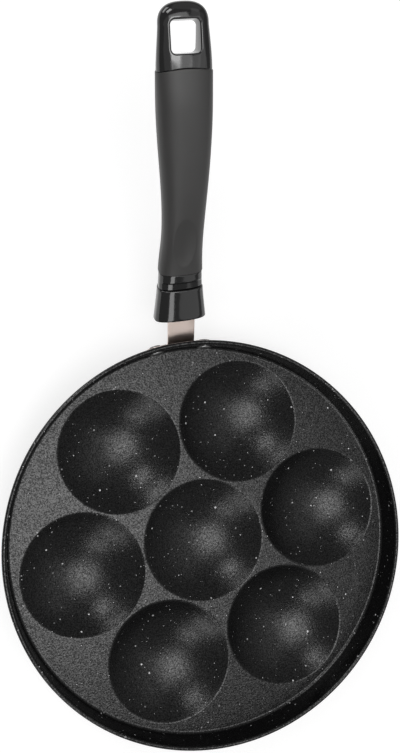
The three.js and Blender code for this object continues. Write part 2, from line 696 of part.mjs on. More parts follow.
// The sleeve: a soft skin over the core, with a shallow oval thumb rest in its top
function gripSleeve() {
  const stations = spaced(SLEEVE_START, SLEEVE_END);
  const outside = loft(stations.map((s) => ring(s, skinAt(s, 0), ROUNDNESS)));
  const ends = [SLEEVE_START - RING_STEP, ...stations, SLEEVE_END + RING_STEP];
  const inside = loft(ends.map((s) => ring(s, skinAt(s, SLEEVE_THICKNESS), ROUNDNESS)));
  return outside.subtract(thumbRest()).subtract(inside);
}

// An ellipsoid that dips into the sleeve's top by the thumb rest's depth
function thumbRest() {
  const middle = SLEEVE_START + THUMB_FROM_SLEEVE;
  const height = THUMB_LIFT + THUMB_DEPTH;
  const spread = Math.sqrt(1 - (THUMB_LIFT / height) ** 2);
  const crown = skinSize(middle, "top") + THUMB_LIFT;
  const dish = new THREE.SphereGeometry(1, SMALL_SIDES, SMALL_SIDES);
  dish.scale(THUMB_WIDTH / 2 / spread, THUMB_LENGTH / 2 / spread, height);
  return solid(dish.translate(0, 0, crown).applyMatrix4(handleFrame(middle)));
}

// A slotted pan-head screw, its tip inside the hole of the tongue
function handleScrew() {
  const tip = TONGUE_TOP - SHEET / 2;
  const foot = HEAD_TOP - SCREW_HEAD_HEIGHT;
  const body = atScrew([
    new THREE.Vector2(0, foot),
    new THREE.Vector2(SCREW_CROWN_RADIUS, foot),
    new THREE.Vector2(SCREW_HEAD_RADIUS, foot + SCREW_HEAD_HEIGHT / 2),
    new THREE.Vector2(SCREW_HEAD_RADIUS, HEAD_TOP),
    new THREE.Vector2(SCREW_RADIUS, HEAD_TOP),
    new THREE.Vector2(SCREW_RADIUS, tip - SCREW_TIP_CHAMFER),
    new THREE.Vector2(SCREW_RADIUS - SCREW_TIP_CHAMFER, tip),
    new THREE.Vector2(0, tip),
  ]);
  const low = new THREE.Vector3(-SCREW_HEAD_RADIUS * 2, -SLOT_WIDTH / 2, foot - SLOT_DEPTH);
  const high = new THREE.Vector3(SCREW_HEAD_RADIUS * 2, SLOT_WIDTH / 2, foot + SLOT_DEPTH);
  return body.subtract(boxInFrame(handleFrame(SCREW_FROM_MOUTH), low, high));
}

// A washer split once, so that it springs
function lockWasher() {
  const low = WASHER_TOP - WASHER_THICKNESS;
  const below = low - WASHER_THICKNESS;
  const above = WASHER_TOP + WASHER_THICKNESS;
  const whole = atScrew(drum(WASHER_RADIUS, low, WASHER_TOP));
  const bore = atScrew(drum(SCREW_RADIUS + HOLE_CLEARANCE, below, above));
  const gapLow = new THREE.Vector3(0, -WASHER_SPLIT / 2, below);
  const gapHigh = new THREE.Vector3(2 * WASHER_RADIUS, WASHER_SPLIT / 2, above);
  return whole.subtract(bore).subtract(boxInFrame(handleFrame(SCREW_FROM_MOUTH), gapLow, gapHigh));
}

// A square nut welded under the tongue's web, between its sides
function tongueNut() {
  const top = TONGUE_TOP - SHEET - CLEARANCE;
  const low = new THREE.Vector3(-NUT_SIDE / 2, -NUT_SIDE / 2, top - NUT_HEIGHT);
  const high = new THREE.Vector3(NUT_SIDE / 2, NUT_SIDE / 2, top);
  const bore = atScrew(drum(SCREW_RADIUS + HOLE_CLEARANCE, top - 2 * NUT_HEIGHT, top + NUT_HEIGHT));
  return boxInFrame(handleFrame(SCREW_FROM_MOUTH), low, high).subtract(bore);
}

function piece(name, body, color, roughness, metalness) {
  const mesh = new THREE.Mesh(shapeOf(body), new THREE.MeshStandardMaterial({ color, roughness, metalness }));
  mesh.name = name;
  return mesh;
}

const handle = new THREE.Group();
handle.add(
  piece("handle_bracket", handleBracket(), 0xc1b5ac, 0.4, 1),
  piece("flame_guard", flameGuard(), 0x1a1a1a, 0.15, 0),
  piece("handle_core", handleCore(), 0x1a1a1a, 0.15, 0),
  piece("grip_sleeve", gripSleeve(), 0x444342, 0.7, 0),
  piece("handle_screw", handleScrew(), 0xb8b8b8, 0.35, 1),
  piece("lock_washer", lockWasher(), 0xa8a8a8, 0.4, 1),
  piece("tongue_nut", tongueNut(), 0xb0b0b0, 0.4, 1),
);

const eggPan = new THREE.Group();
eggPan.add(
  piece("pan_body", panBody(), 0x2a2a2a, 0.45, 0.1),
  piece("rivet_left", rivet(-1), 0x1c1c1c, 0.35, 0.3),
  piece("rivet_right", rivet(1), 0x1c1c1c, 0.35, 0.3),
  handle,
);

export default eggPan;
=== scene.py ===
# %% [markdown]
# # Dressing an egg pan
# The object is a low round frying pan with seven round wells in its floor, so that eggs or small
# pancakes fry apart, and one long handle that is riveted on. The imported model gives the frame: every
# piece below is made in metres, in the same place as the solid that it stands for.

from math import acos, asin, copysign, cos, degrees, hypot, pi, radians, sin, sqrt, tan

import bmesh
import bpy
import numpy as np
from mathutils import Euler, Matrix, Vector
from mathutils.geometry import delaunay_2d_cdt


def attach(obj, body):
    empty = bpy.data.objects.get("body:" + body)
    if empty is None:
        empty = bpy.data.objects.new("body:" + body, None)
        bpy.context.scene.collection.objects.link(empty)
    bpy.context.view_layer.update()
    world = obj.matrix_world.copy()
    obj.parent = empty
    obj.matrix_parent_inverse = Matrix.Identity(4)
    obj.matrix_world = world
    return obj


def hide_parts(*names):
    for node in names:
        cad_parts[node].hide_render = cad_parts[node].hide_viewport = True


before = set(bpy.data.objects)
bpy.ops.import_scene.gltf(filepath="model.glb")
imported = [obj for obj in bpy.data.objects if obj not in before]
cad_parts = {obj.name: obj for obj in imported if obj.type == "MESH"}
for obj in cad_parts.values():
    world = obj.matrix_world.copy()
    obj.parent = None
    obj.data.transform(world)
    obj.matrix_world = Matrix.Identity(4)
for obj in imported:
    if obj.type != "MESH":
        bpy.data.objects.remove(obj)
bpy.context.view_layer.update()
MM = 0.001
print("nodes:", ", ".join(sorted(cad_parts)))

# %% [markdown]
# ## The camera
# The photograph looks down on the pan from its left. A rim is a circle, and a circle seen from one
# place is an ellipse whose form gives that place, so the rim, the floor's edge and the seven wells
# together fix the camera. It comes first, because every later choice is judged through it.

# %% Set the camera
PHOTO_HEIGHT = 753
FOCAL_LENGTH_IN_PIXELS = 913.56
SENSOR = 36.0
CAMERA_PLACE = (-0.12435, 0.11989, 0.54869)
CAMERA_TURN = (-0.280, -14.482, -8.050)

scene = bpy.context.scene
camera_data = bpy.data.cameras.new("photo_camera")
camera_data.sensor_fit = "AUTO"
camera_data.sensor_width = SENSOR
camera_data.lens = FOCAL_LENGTH_IN_PIXELS * SENSOR / PHOTO_HEIGHT
camera = bpy.data.objects.new("photo_camera", camera_data)
camera.location = CAMERA_PLACE
camera.rotation_euler = Euler([radians(turn) for turn in CAMERA_TURN])
scene.collection.objects.link(camera)
scene.camera = camera
scene.view_settings.view_transform = "Standard"
print("lens in mm:", round(camera_data.lens, 2))

# %% [markdown]
# ## Helpers for meshes and node trees
# Sizes are written in millimetres, as on a workshop drawing, and become metres when a mesh is made.
# A Geometry Nodes tree is a small machine: raw mesh in, finished mesh out. The helpers below build
# such a machine, set its inputs, run it once and keep the plain mesh that comes out.

# %% Mesh helpers
def object_of(name, data):
    piece = bpy.data.objects.new(name, data)
    scene.collection.objects.link(piece)
    return piece


def mesh_object(name, points, faces=()):
    """An object whose mesh has these points, given in millimetres."""
    mesh = bpy.data.meshes.new(name)
    mesh.from_pydata((np.asarray(points, float) * MM).tolist(), [], faces)
    return object_of(name, mesh)


def drop(piece):
    """Remove a helper object together with its data."""
    data = piece.data
    bpy.data.objects.remove(piece)
    if isinstance(data, bpy.types.Curve):
        bpy.data.curves.remove(data)
    else:
        bpy.data.meshes.remove(data)


def bake(piece):
    """Swap an object's mesh for the one that its modifiers make."""
    graph = bpy.context.evaluated_depsgraph_get()
    made = bpy.data.meshes.new_from_object(piece.evaluated_get(graph))
    raw = piece.data
    piece.modifiers.clear()
    piece.data = made
    made.name = piece.name
    bpy.data.meshes.remove(raw)


def close_up(piece, sharp_angle, merge=0.002):
    """Merge doubles, drop loose edges, turn the faces outwards, shade smooth except at sharp edges."""
    work = bmesh.new()
    work.from_mesh(piece.data)
    bmesh.ops.remove_doubles(work, verts=work.verts, dist=merge * MM)
    bmesh.ops.dissolve_degenerate(work, edges=work.edges, dist=1e-7)
    loose = [edge for edge in work.edges if edge.is_wire]
    bmesh.ops.delete(work, geom=loose, context="EDGES")
    bmesh.ops.recalc_face_normals(work, faces=work.faces)
    open_edges = sum(1 for edge in work.edges if len(edge.link_faces) != 2)
    triangles = sum(len(face.verts) - 2 for face in work.faces)
    work.to_mesh(piece.data)
    work.free()
    piece.data.shade_smooth()
    piece.data.set_sharp_from_angle(angle=radians(sharp_angle))
    print(piece.name, "triangles:", triangles, "open edges:", open_edges)


def hand_over(piece, node, sharp_angle):
    """Close the piece, hide the solid it stands for and let it ride on the part's one body."""
    close_up(piece, sharp_angle)
    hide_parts(node)
    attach(piece, "root")


# %% Node helpers
def add_node(tree, kind, settings=None, **links):
    """A node with its settings; each link names an input and gives a number or a socket."""
    node = tree.nodes.new(kind)
    for name, value in (settings or {}).items():
        setattr(node, name, value)
    for name, value in links.items():
        join(tree, value, node.inputs[name.replace("_", " ")])
    return node


def join(tree, value, socket):
    if isinstance(value, bpy.types.NodeSocket):
        tree.links.new(value, socket)
    else:
        socket.default_value = value


def maths(tree, operation, *values, kind="ShaderNodeMath"):
    """One Math node; every value is a number or a socket."""
    node = add_node(tree, kind, {"operation": operation})
    for socket, value in zip(node.inputs, values):
        join(tree, value, socket)
    return node.outputs[0]


def vectors(tree, operation, *values):
    """One Vector Math node; every value is a vector or a socket."""
    return maths(tree, operation, *values, kind="ShaderNodeVectorMath")


def spot_of(tree):
    """Every point's X, Y and Z."""
    spot = tree.nodes.new("GeometryNodeInputPosition").outputs["Position"]
    return add_node(tree, "ShaderNodeSeparateXYZ", Vector=spot).outputs


def geometry_tree(name, inputs):
    """An empty Geometry Nodes tree with named inputs, and its group input node."""
    tree = bpy.data.node_groups.new(name, "GeometryNodeTree")
    tree.interface.new_socket("Geometry", in_out="INPUT", socket_type="NodeSocketGeometry")
    for label, kind in inputs.items():
        tree.interface.new_socket(label, in_out="INPUT", socket_type="NodeSocket" + kind)
    tree.interface.new_socket("Material", in_out="INPUT", socket_type="NodeSocketMaterial")
    tree.interface.new_socket("Geometry", in_out="OUTPUT", socket_type="NodeSocketGeometry")
    return tree, tree.nodes.new("NodeGroupInput")


def end_tree(tree, start, geometry):
    """Every tree ends the same way: no instances left, one material, one output."""
    real = add_node(tree, "GeometryNodeRealizeInstances", Geometry=geometry)
    material = start.outputs["Material"]
    dressed = add_node(tree, "GeometryNodeSetMaterial", Geometry=real.outputs[0], Material=material)
    add_node(tree, "NodeGroupOutput", Geometry=dressed.outputs[0])


def run_tree(piece, tree, values):
    """Set a tree's inputs on the piece by their identifiers, run it and keep the result."""
    modifier = piece.modifiers.new(tree.name, "NODES")
    modifier.node_group = tree
    for item in tree.interface.items_tree:
        if item.in_out == "INPUT" and item.name in values:
            modifier[item.identifier] = values[item.name]
    piece.update_tag()
    bake(piece)


print("helpers ready")

# %% [markdown]
# ## The finishes
# Six finishes cover the whole object. Each one is a small node tree that reads Object coordinates,
# so its grain has a real size in metres and stays put on the piece. The pan's coating is a dark
# sprayed film with pale flecks; the mouldings are glossy black; the grip is a soft matt skin.

# %% Helpers for finishes
NOISE_RANGE = (0.3, 0.7)


def finish(name, roughness, metallic=0.0, specular=0.5):
    """A new material with its shader and the object's own coordinates."""
    material = bpy.data.materials.new(name)
    material.use_nodes = True
    tree = material.node_tree
    shader = tree.nodes["Principled BSDF"]
    shader.inputs["Roughness"].default_value = roughness
    shader.inputs["Metallic"].default_value = metallic
    shader.inputs["Specular IOR Level"].default_value = specular
    place = tree.nodes.new("ShaderNodeTexCoord").outputs["Object"]
    return material, tree, shader, place


def grain(tree, place, size_mm, detail=2.0):
    """Soft noise whose grains are about this size."""
    node = add_node(tree, "ShaderNodeTexNoise", Vector=place, Scale=1 / (size_mm * MM), Detail=detail)
    return node.outputs["Fac"]


def spread(tree, value, low, high, new_low, new_high):
    """Stretch a range of values over a new range, and hold it there."""
    node = add_node(tree, "ShaderNodeMapRange", Value=value)
    node.inputs["From Min"].default_value = low
    node.inputs["From Max"].default_value = high
    node.inputs["To Min"].default_value = new_low
    node.inputs["To Max"].default_value = new_high
    return node.outputs["Result"]


def tint(tree, factor, first, second):
    """A colour between two colours; each is three numbers or a socket."""
    node = add_node(tree, "ShaderNodeMix", {"data_type": "RGBA"}, Factor=factor)
    sockets = [socket for socket in node.inputs if socket.type == "RGBA"]
    for socket, colour in zip(sockets, (first, second)):
        join(tree, (*colour, 1.0) if isinstance(colour, tuple) else colour, socket)
    return next(socket for socket in node.outputs if socket.type == "RGBA")


def paint(tree, shader, factor, first, second):
    """Colour a surface between two colours."""
    tree.links.new(tint(tree, factor, first, second), shader.inputs["Base Color"])


def roughen(tree, shader, noise, low, high):
    """Let a noise vary the roughness of a surface."""
    tree.links.new(spread(tree, noise, *NOISE_RANGE, low, high), shader.inputs["Roughness"])


def dent(tree, shader, height, depth_mm):
    """Let a height field tilt the light on a surface."""
    bump = add_node(tree, "ShaderNodeBump", Strength=1.0, Distance=depth_mm * MM, Height=height)
    tree.links.new(bump.outputs["Normal"], shader.inputs["Normal"])


print("finish helpers ready")

# %% [markdown]
# ### Stone-fleck coating
# The coating is sprayed in two passes: a dark base with a fine pebbly skin, then a sparse spatter of
# pale drops. Voronoi cells stand for the drops: every cell holds one drop at most, a random number
# per cell decides whether it is there and how large, and noise bends its outline. The base is nearly
# black, so the floor's grey is all reflection: its grain comes from a gloss that varies by the grain.

# %% Make the coating
FLECK_CELL = 2.1
FLECK_SMALLEST = 0.07
FLECK_LARGEST = 0.34
FLECK_RARITY = 4.0
FLECK_SHARE = 0.2
FINE_FLECK_SHARE = 0.16
FINE_CELL_RATIO = 2.2
WOBBLE_GRAIN = 0.7
WOBBLE = 0.4
PEBBLE = 1.0
GLOSS_GRAIN = 0.75
GLOSS_NOISE = (0.36, 0.64)
GLOSS_LEVELS = (0.2, 0.8)

coating, tree, shader, place = finish("stone_fleck_coating", roughness=0.25)


def flecks(tree, place, cell_mm, share):
    """A mask of pale drops: one per cell in a share of the cells, each of its own size."""
    cells = add_node(tree, "ShaderNodeTexVoronoi", Vector=place, Scale=1 / (cell_mm * MM))
    parts = add_node(tree, "ShaderNodeSeparateColor", Color=cells.outputs["Color"])
    there = maths(tree, "GREATER_THAN", parts.outputs["Red"], 1 - share)
    rank = maths(tree, "POWER", parts.outputs["Green"], FLECK_RARITY)
    size = spread(tree, rank, 0.0, 1.0, FLECK_SMALLEST, FLECK_LARGEST)
    within = maths(tree, "SUBTRACT", size, cells.outputs["Distance"])
    soft = spread(tree, within, 0.0, FLECK_SMALLEST, 0.0, 1.0)
    strength = maths(tree, "MULTIPLY", soft, parts.outputs["Blue"])
    return maths(tree, "MULTIPLY", there, strength)


ragged = grain(tree, place, size_mm=0.8)
wobble = add_node(tree, "ShaderNodeTexNoise", Vector=place, Scale=1 / (WOBBLE_GRAIN * MM))
bent_place = vectors(tree, "MULTIPLY_ADD", wobble.outputs["Color"], [WOBBLE * MM] * 3, place)
drops = flecks(tree, bent_place, FLECK_CELL, FLECK_SHARE)
fine_drops = flecks(tree, bent_place, FLECK_CELL / FINE_CELL_RATIO, FINE_FLECK_SHARE)
all_drops = maths(tree, "MAXIMUM", drops, fine_drops)
uneven = spread(tree, ragged, *NOISE_RANGE, 0.0, 1.0)
base = tint(tree, uneven, (0.003, 0.003, 0.0031), (0.007, 0.007, 0.0072))
paint(tree, shader, all_drops, base, (0.9, 0.9, 0.91))
pebbles = grain(tree, place, PEBBLE, detail=3.0)
roughen(tree, shader, pebbles, low=0.2, high=0.3)
dent(tree, shader, pebbles, depth_mm=0.1)
gloss = grain(tree, place, GLOSS_GRAIN, detail=1.0)
tree.links.new(spread(tree, gloss, *GLOSS_NOISE, *GLOSS_LEVELS), shader.inputs["Specular IOR Level"])
print("coating made")

# %% [markdown]
# ### Coating on the rivets
# The rivet heads are sprayed with the same film, but turned aluminium under it is smoother than the
# cast wall, so the film lies flatter there and shows a crisp glint.

# %% Make the rivet finish
rivet_coat, tree, shader, place = finish("rivet_coat", roughness=0.2, metallic=0.9)
speckle = grain(tree, place, size_mm=0.5)
paint(tree, shader, speckle, (0.3, 0.3, 0.3), (0.4, 0.4, 0.4))
roughen(tree, shader, speckle, low=0.15, high=0.22)
dent(tree, shader, speckle, depth_mm=0.012)
print("rivet finish made")

# %% [markdown]
# ### Glossy moulding
# The guard, the neck and the hanging loop are pressed from a hard heat-proof resin in polished
# moulds. Such a surface is nearly black, mirrors the softboxes sharply, and is very slightly wavy
# because the part shrinks as it cures.

# %% Make the glossy moulding
moulding, tree, shader, place = finish("gloss_black_moulding", roughness=0.1, specular=0.75)
waves = grain(tree, place, size_mm=9.0, detail=1.0)
dust = grain(tree, place, size_mm=1.2)
paint(tree, shader, dust, (0.0045, 0.0045, 0.0047), (0.0075, 0.0075, 0.0077))
roughen(tree, shader, dust, low=0.07, high=0.13)
dent(tree, shader, waves, depth_mm=0.04)
print("moulding made")

# %% [markdown]
# ### Soft-touch grip
# The grip's skin is a matt charcoal elastomer. Its mould was etched, so the surface has a very fine
# grain that spreads every highlight, and the colour is uneven by a few percent.

# %% Make the soft grip
soft_skin, tree, shader, place = finish("soft_touch_charcoal", roughness=0.45)
etched = grain(tree, place, size_mm=0.3, detail=3.0)
cloudy = grain(tree, place, size_mm=14.0)
mixed = maths(tree, "MULTIPLY_ADD", etched, 0.5, maths(tree, "MULTIPLY", cloudy, 0.5))
paint(tree, shader, mixed, (0.0268, 0.0262, 0.0257), (0.0378, 0.0369, 0.0361))
roughen(tree, shader, etched, low=0.4, high=0.5)
dent(tree, shader, etched, depth_mm=0.03)
print("soft grip made")

# %% [markdown]
# ### Satin steel and plated steel
# The bracket is cut from rolled strip, whose grain runs along the strip. Stretching the noise along
# one axis with a Mapping node gives those lines, and an anisotropic highlight is drawn out by them.
# The small fasteners are zinc plated, with a blotchy grey that has no direction.

# %% Make the two steels
STRIP_STRETCH = (1.0, 0.06, 0.06)
BRUSHED = 0.8

satin_steel, tree, shader, place = finish("satin_rolled_steel", roughness=0.3, metallic=1.0)
along = add_node(tree, "ShaderNodeMapping", Vector=place)
along.inputs["Scale"].default_value = STRIP_STRETCH
rolled = grain(tree, along.outputs["Vector"], size_mm=0.35, detail=3.0)
paint(tree, shader, rolled, (0.76, 0.645, 0.588), (0.86, 0.726, 0.662))
roughen(tree, shader, rolled, low=0.4, high=0.5)
brushing = add_node(tree, "ShaderNodeTangent", {"direction_type": "RADIAL", "axis": "Z"})
tree.links.new(brushing.outputs["Tangent"], shader.inputs["Tangent"])
shader.inputs["Anisotropic"].default_value = BRUSHED
dent(tree, shader, rolled, depth_mm=0.004)

plated_steel, tree, shader, place = finish("zinc_plated_steel", roughness=0.35, metallic=1.0)
blotches = grain(tree, place, size_mm=1.1, detail=4.0)
paint(tree, shader, blotches, (0.38, 0.38, 0.37), (0.58, 0.58, 0.57))
roughen(tree, shader, blotches, low=0.28, high=0.45)
print("steels made")

# %% [markdown]
# ## The pan
# The pan follows one rule. Seen from above, every point's height depends on how far it is from the
# centre of the nearest well: inside the well it lies on a sphere, at the lip it rolls over on a small
# radius, and outside it is the flat floor. A sculpted mesh could copy that, but a rule is exact, so
# a Geometry Nodes tree presses a flat blank into shape, like the tool that presses the real one.

# %% Sizes of the pan
RING_WELLS = 6
WELL_MOUTH_RADIUS = 36.4
WELL_DEPTH = 13.0
WELL_GAP = 1.86
WELL_LIP_RADIUS = 2.4
WELL_WALL = 3.0
WELL_BASE = 4.0
WELL_TURN = radians(5.3)
FOOT_RADIUS = 20.0
FOOT_FLANK_RADIUS = 27.0
FLOOR_MARGIN = 3.4
FLOOR_THICKNESS = 2.5
FLOOR_FILLET = 1.9
OUTER_CORNER = 5.0
WALL = 1.6
WALL_LEAN = radians(4)
RIM_RISE = 17.1
RIM_BEAD = 1.3

FLOOR_Z = WELL_BASE + WELL_DEPTH
UNDER_Z = FLOOR_Z - FLOOR_THICKNESS
RIM_Z = FLOOR_Z + RIM_RISE
BEAD_Z = RIM_Z - RIM_BEAD
RING_RADIUS = 2 * WELL_MOUTH_RADIUS + WELL_GAP
WALL_FOOT_RADIUS = RING_RADIUS + WELL_MOUTH_RADIUS + FLOOR_MARGIN + FLOOR_FILLET
BOWL_RADIUS = (WELL_MOUTH_RADIUS**2 + WELL_DEPTH**2) / (2 * WELL_DEPTH)
BOWL_CENTRE_Z = WELL_BASE + BOWL_RADIUS
LIP_DISTANCE = sqrt(
    (BOWL_RADIUS + WELL_LIP_RADIUS) ** 2 - (BOWL_CENTRE_Z - FLOOR_Z + WELL_LIP_RADIUS) ** 2
)
TOUCH_DISTANCE = LIP_DISTANCE * BOWL_RADIUS / (BOWL_RADIUS + WELL_LIP_RADIUS)


def wall_radius(z):
    """Inside radius of the pan's wall at a height."""
    return WALL_FOOT_RADIUS + (z - FLOOR_Z) * tan(WALL_LEAN)


RIM_RADIUS = wall_radius(BEAD_Z) + 2 * RIM_BEAD
turns = WELL_TURN + 2 * pi * np.arange(RING_WELLS) / RING_WELLS
ring_centres = RING_RADIUS * np.stack([np.cos(turns), np.sin(turns)], axis=1)
WELL_CENTRES = np.concatenate([[[0.0, 0.0]], ring_centres])
print("bowl radius:", round(BOWL_RADIUS, 2), "rim radius:", round(RIM_RADIUS, 2))

# %% [markdown]
# ### The flat blank
# The blank's mesh is dense where the rule bends it: rings of faces lie around every well's centre.
# The odd-shaped rest of the floor, between seven circles and the round edge, is filled by Delaunay
# triangles. They stay flat, and a narrow extra ring on each border keeps their shading flat too.

# %% Draw the blank
WELL_SIDES = 96
RIM_SIDES = 240
BORDER = 0.3
LIP_BORDER = 0.04
FILL_TOLERANCE = 1e-5


def circle(radius, sides, centre=(0.0, 0.0)):
    angles = 2 * pi * np.arange(sides) / sides
    return np.stack([centre[0] + radius * np.cos(angles), centre[1] + radius * np.sin(angles)], axis=1)


def loop_edges(start, count):
    return [(start + k, start + (k + 1) % count) for k in range(count)]


def nearest_well(points):
    return np.linalg.norm(points[:, None] - WELL_CENTRES[None], axis=2).min(axis=1)


def fill(points, edges):
    """Delaunay triangles between flat points that keep these edges: points, triangles and middles."""
    filled = delaunay_2d_cdt([Vector(p) for p in points], edges, [], 0, FILL_TOLERANCE, False)
    spots = np.array([tuple(p) for p in filled[0]])
    triangles = [list(triangle) for triangle in filled[2]]
    return spots, triangles, np.array([spots[triangle].mean(axis=0) for triangle in triangles])


def flat_blank(name, rings, loose, edge):
    """A flat disc: rings of faces round each well's centre, and triangles between them."""
    points = []
    faces = []
    for centre in WELL_CENTRES:
        pole = len(points)
        points.append(centre)
        for radius in rings:
            points.extend(circle(radius, WELL_SIDES, centre))
        for a, b in loop_edges(pole + 1, WELL_SIDES):
            faces.append((pole, a, b))
            for step in range(0, (len(rings) - 1) * WELL_SIDES, WELL_SIDES):
                faces.append((a + step, a + step + WELL_SIDES, b + step + WELL_SIDES, b + step))
    flat = []
    fixed = []
    for centre in WELL_CENTRES:
        fixed += loop_edges(len(flat), WELL_SIDES)
        flat.extend(circle(rings[-1], WELL_SIDES, centre))
    for radius in (edge - BORDER, edge):
        fixed += loop_edges(len(flat), RIM_SIDES)
        flat.extend(circle(radius, RIM_SIDES))
    for centre in WELL_CENTRES:
        for radius in loose:
            around = circle(radius, WELL_SIDES, centre)
            in_rim = np.linalg.norm(around, axis=1) < edge - 2 * BORDER
            flat.extend(around[in_rim & (nearest_well(around) > radius - BORDER)])
    spots, triangles, middles = fill(flat, fixed)
    outside = nearest_well(middles) > rings[-1] * cos(pi / WELL_SIDES)
    faces += [[len(points) + corner for corner in face] for face, kept in zip(triangles, outside) if kept]
    points.extend(spots)
    points = np.column_stack([np.array(points), np.zeros(len(points))])
    print(name, "points:", len(points), "faces:", len(faces))
    return mesh_object(name, points, faces)


bowl_rings = list(np.linspace(0, TOUCH_DISTANCE, 15)[1:])
lip_start = asin((LIP_DISTANCE - TOUCH_DISTANCE) / WELL_LIP_RADIUS)
lip_rings = [LIP_DISTANCE - WELL_LIP_RADIUS * sin(a) for a in np.linspace(lip_start, 0, 6)[1:]]
fillet_radius = WALL_FOOT_RADIUS - FLOOR_FILLET * (1 - sin(WALL_LEAN)) / cos(WALL_LEAN)
corner_radius = wall_radius(UNDER_Z + OUTER_CORNER) + WALL - OUTER_CORNER
top_blank = flat_blank("top_blank", bowl_rings + lip_rings + [LIP_DISTANCE + LIP_BORDER], [], fillet_radius)
foot_rings = [6, 12, 16, 18, 19, 19.6, 20.2, 20.8, 21.5, 23, 24.5, 25.5, 26.5, 27.5, 28.5, 30, 32, 34, 36]
skirt_rings = [37.2, 38, 38.8, 39.6, 40.6, 42]
under_blank = flat_blank("under_blank", foot_rings, skirt_rings, corner_radius)

# %% [markdown]
# ### The pressing tool
# The tree measures the distance to the nearest well centre with Geometry Proximity, and a few Math
# nodes turn that distance into a height. One tree presses the cooking side; a second one presses the
# underside, where each bowl stands on a flat round foot and all corners are softened.

# %% Build the pressing trees
def pressing_tree(name, inputs, height_rule):
    tree, start = geometry_tree(name, {"Well Centres": "Object", **{label: "Float" for label in inputs}})
    centres = add_node(tree, "GeometryNodeObjectInfo", Object=start.outputs["Well Centres"])
    nearest = add_node(tree, "GeometryNodeProximity", {"target_element": "POINTS"})
    tree.links.new(centres.outputs["Geometry"], nearest.inputs[0])
    height = height_rule(tree, nearest.outputs["Distance"], start.outputs)
    lift = add_node(tree, "ShaderNodeCombineXYZ", Z=height).outputs["Vector"]
    pressed = add_node(tree, "GeometryNodeSetPosition", Geometry=start.outputs["Geometry"], Offset=lift)
    end_tree(tree, start, pressed.outputs["Geometry"])
    return tree


def arc_height(tree, radius, sideways):
    """Height of a round arc of that radius, at a distance sideways from its middle."""
    square = maths(tree, "MULTIPLY", radius, radius)
    rest = maths(tree, "SUBTRACT", square, maths(tree, "MULTIPLY", sideways, sideways))
    return maths(tree, "SQRT", maths(tree, "MAXIMUM", rest, 0.0))


def cooking_side(tree, distance, sizes):
    bowl = maths(tree, "SUBTRACT", sizes["Bowl Centre"], arc_height(tree, sizes["Bowl Radius"], distance))
    into_lip = maths(tree, "MAXIMUM", maths(tree, "SUBTRACT", sizes["Lip Distance"], distance), 0.0)
    drop_below = maths(tree, "SUBTRACT", sizes["Lip Radius"], arc_height(tree, sizes["Lip Radius"], into_lip))
    lip = maths(tree, "SUBTRACT", sizes["Floor Height"], drop_below)
    in_bowl = maths(tree, "LESS_THAN", distance, sizes["Touch Distance"])
    step = maths(tree, "SUBTRACT", bowl, lip)
    return maths(tree, "MULTIPLY_ADD", in_bowl, step, lip)


def underside(tree, distance, sizes):
    outside = maths(tree, "ADD", sizes["Bowl Radius"], sizes["Bowl Wall"])
    ball = maths(tree, "SUBTRACT", sizes["Bowl Centre"], arc_height(tree, outside, distance))
    past_foot = maths(tree, "SUBTRACT", distance, sizes["Foot Radius"])
    flank = maths(tree, "MULTIPLY", past_foot, sizes["Flank Slope"])
    bowl = maths(tree, "SMOOTH_MIN", flank, ball, sizes["Softness"])
    foot = maths(tree, "SMOOTH_MAX", bowl, 0.0, sizes["Softness"])
    return maths(tree, "SMOOTH_MIN", foot, sizes["Plate Height"], sizes["Softness"])


top_inputs = ("Floor Height", "Bowl Radius", "Bowl Centre", "Lip Radius", "Lip Distance", "Touch Distance")
under_inputs = (
    "Plate Height", "Bowl Radius", "Bowl Centre", "Bowl Wall", "Foot Radius", "Flank Slope", "Softness",
)
top_tree = pressing_tree("press_cooking_side", top_inputs, cooking_side)
under_tree = pressing_tree("press_underside", under_inputs, underside)
print("nodes in the two trees:", len(top_tree.nodes), len(under_tree.nodes))

# %% Press both sides
CORNER_SOFTNESS = 1.6
EDGE_FADE = 3.0

centre_points = np.column_stack([WELL_CENTRES, np.zeros(len(WELL_CENTRES))])
well_centres = mesh_object("well_centres", centre_points)
outer_bowl = BOWL_RADIUS + WELL_WALL
flank_top = BOWL_CENTRE_Z - sqrt(outer_bowl**2 - FOOT_FLANK_RADIUS**2)
pan_sizes = {
    "Floor Height": FLOOR_Z * MM,
    "Plate Height": UNDER_Z * MM,
    "Bowl Radius": BOWL_RADIUS * MM,
    "Bowl Centre": BOWL_CENTRE_Z * MM,
    "Bowl Wall": WELL_WALL * MM,
    "Lip Radius": WELL_LIP_RADIUS * MM,
    "Lip Distance": LIP_DISTANCE * MM,
    "Touch Distance": TOUCH_DISTANCE * MM,
    "Foot Radius": FOOT_RADIUS * MM,
    "Flank Slope": flank_top / (FOOT_FLANK_RADIUS - FOOT_RADIUS),
    "Softness": CORNER_SOFTNESS * MM,
    "Well Centres": well_centres,
    "Material": coating,
}
run_tree(top_blank, top_tree, pan_sizes)
run_tree(under_blank, under_tree, pan_sizes)
for vertex in under_blank.data.vertices:
    near_edge = 1 - (corner_radius * MM - vertex.co.xy.length) / (EDGE_FADE * MM)
    if near_edge > 0:
        vertex.co.z += near_edge * (UNDER_Z * MM - vertex.co.z)
print("lowest point of the wells in mm:", round(min(v.co.z for v in top_blank.data.vertices) / MM, 3))

# %% [markdown]
# ### A turning tool for round pieces
# The wall, the rivets and the screw are all bodies of revolution. One tree turns any profile: it
# makes a grid with one row per profile point, wraps the grid around the Z axis, and sets a copy on
# every place that it is given, with Z along that place's outward direction.

# %% Build the turning tree
TURNED_SIDES = 48


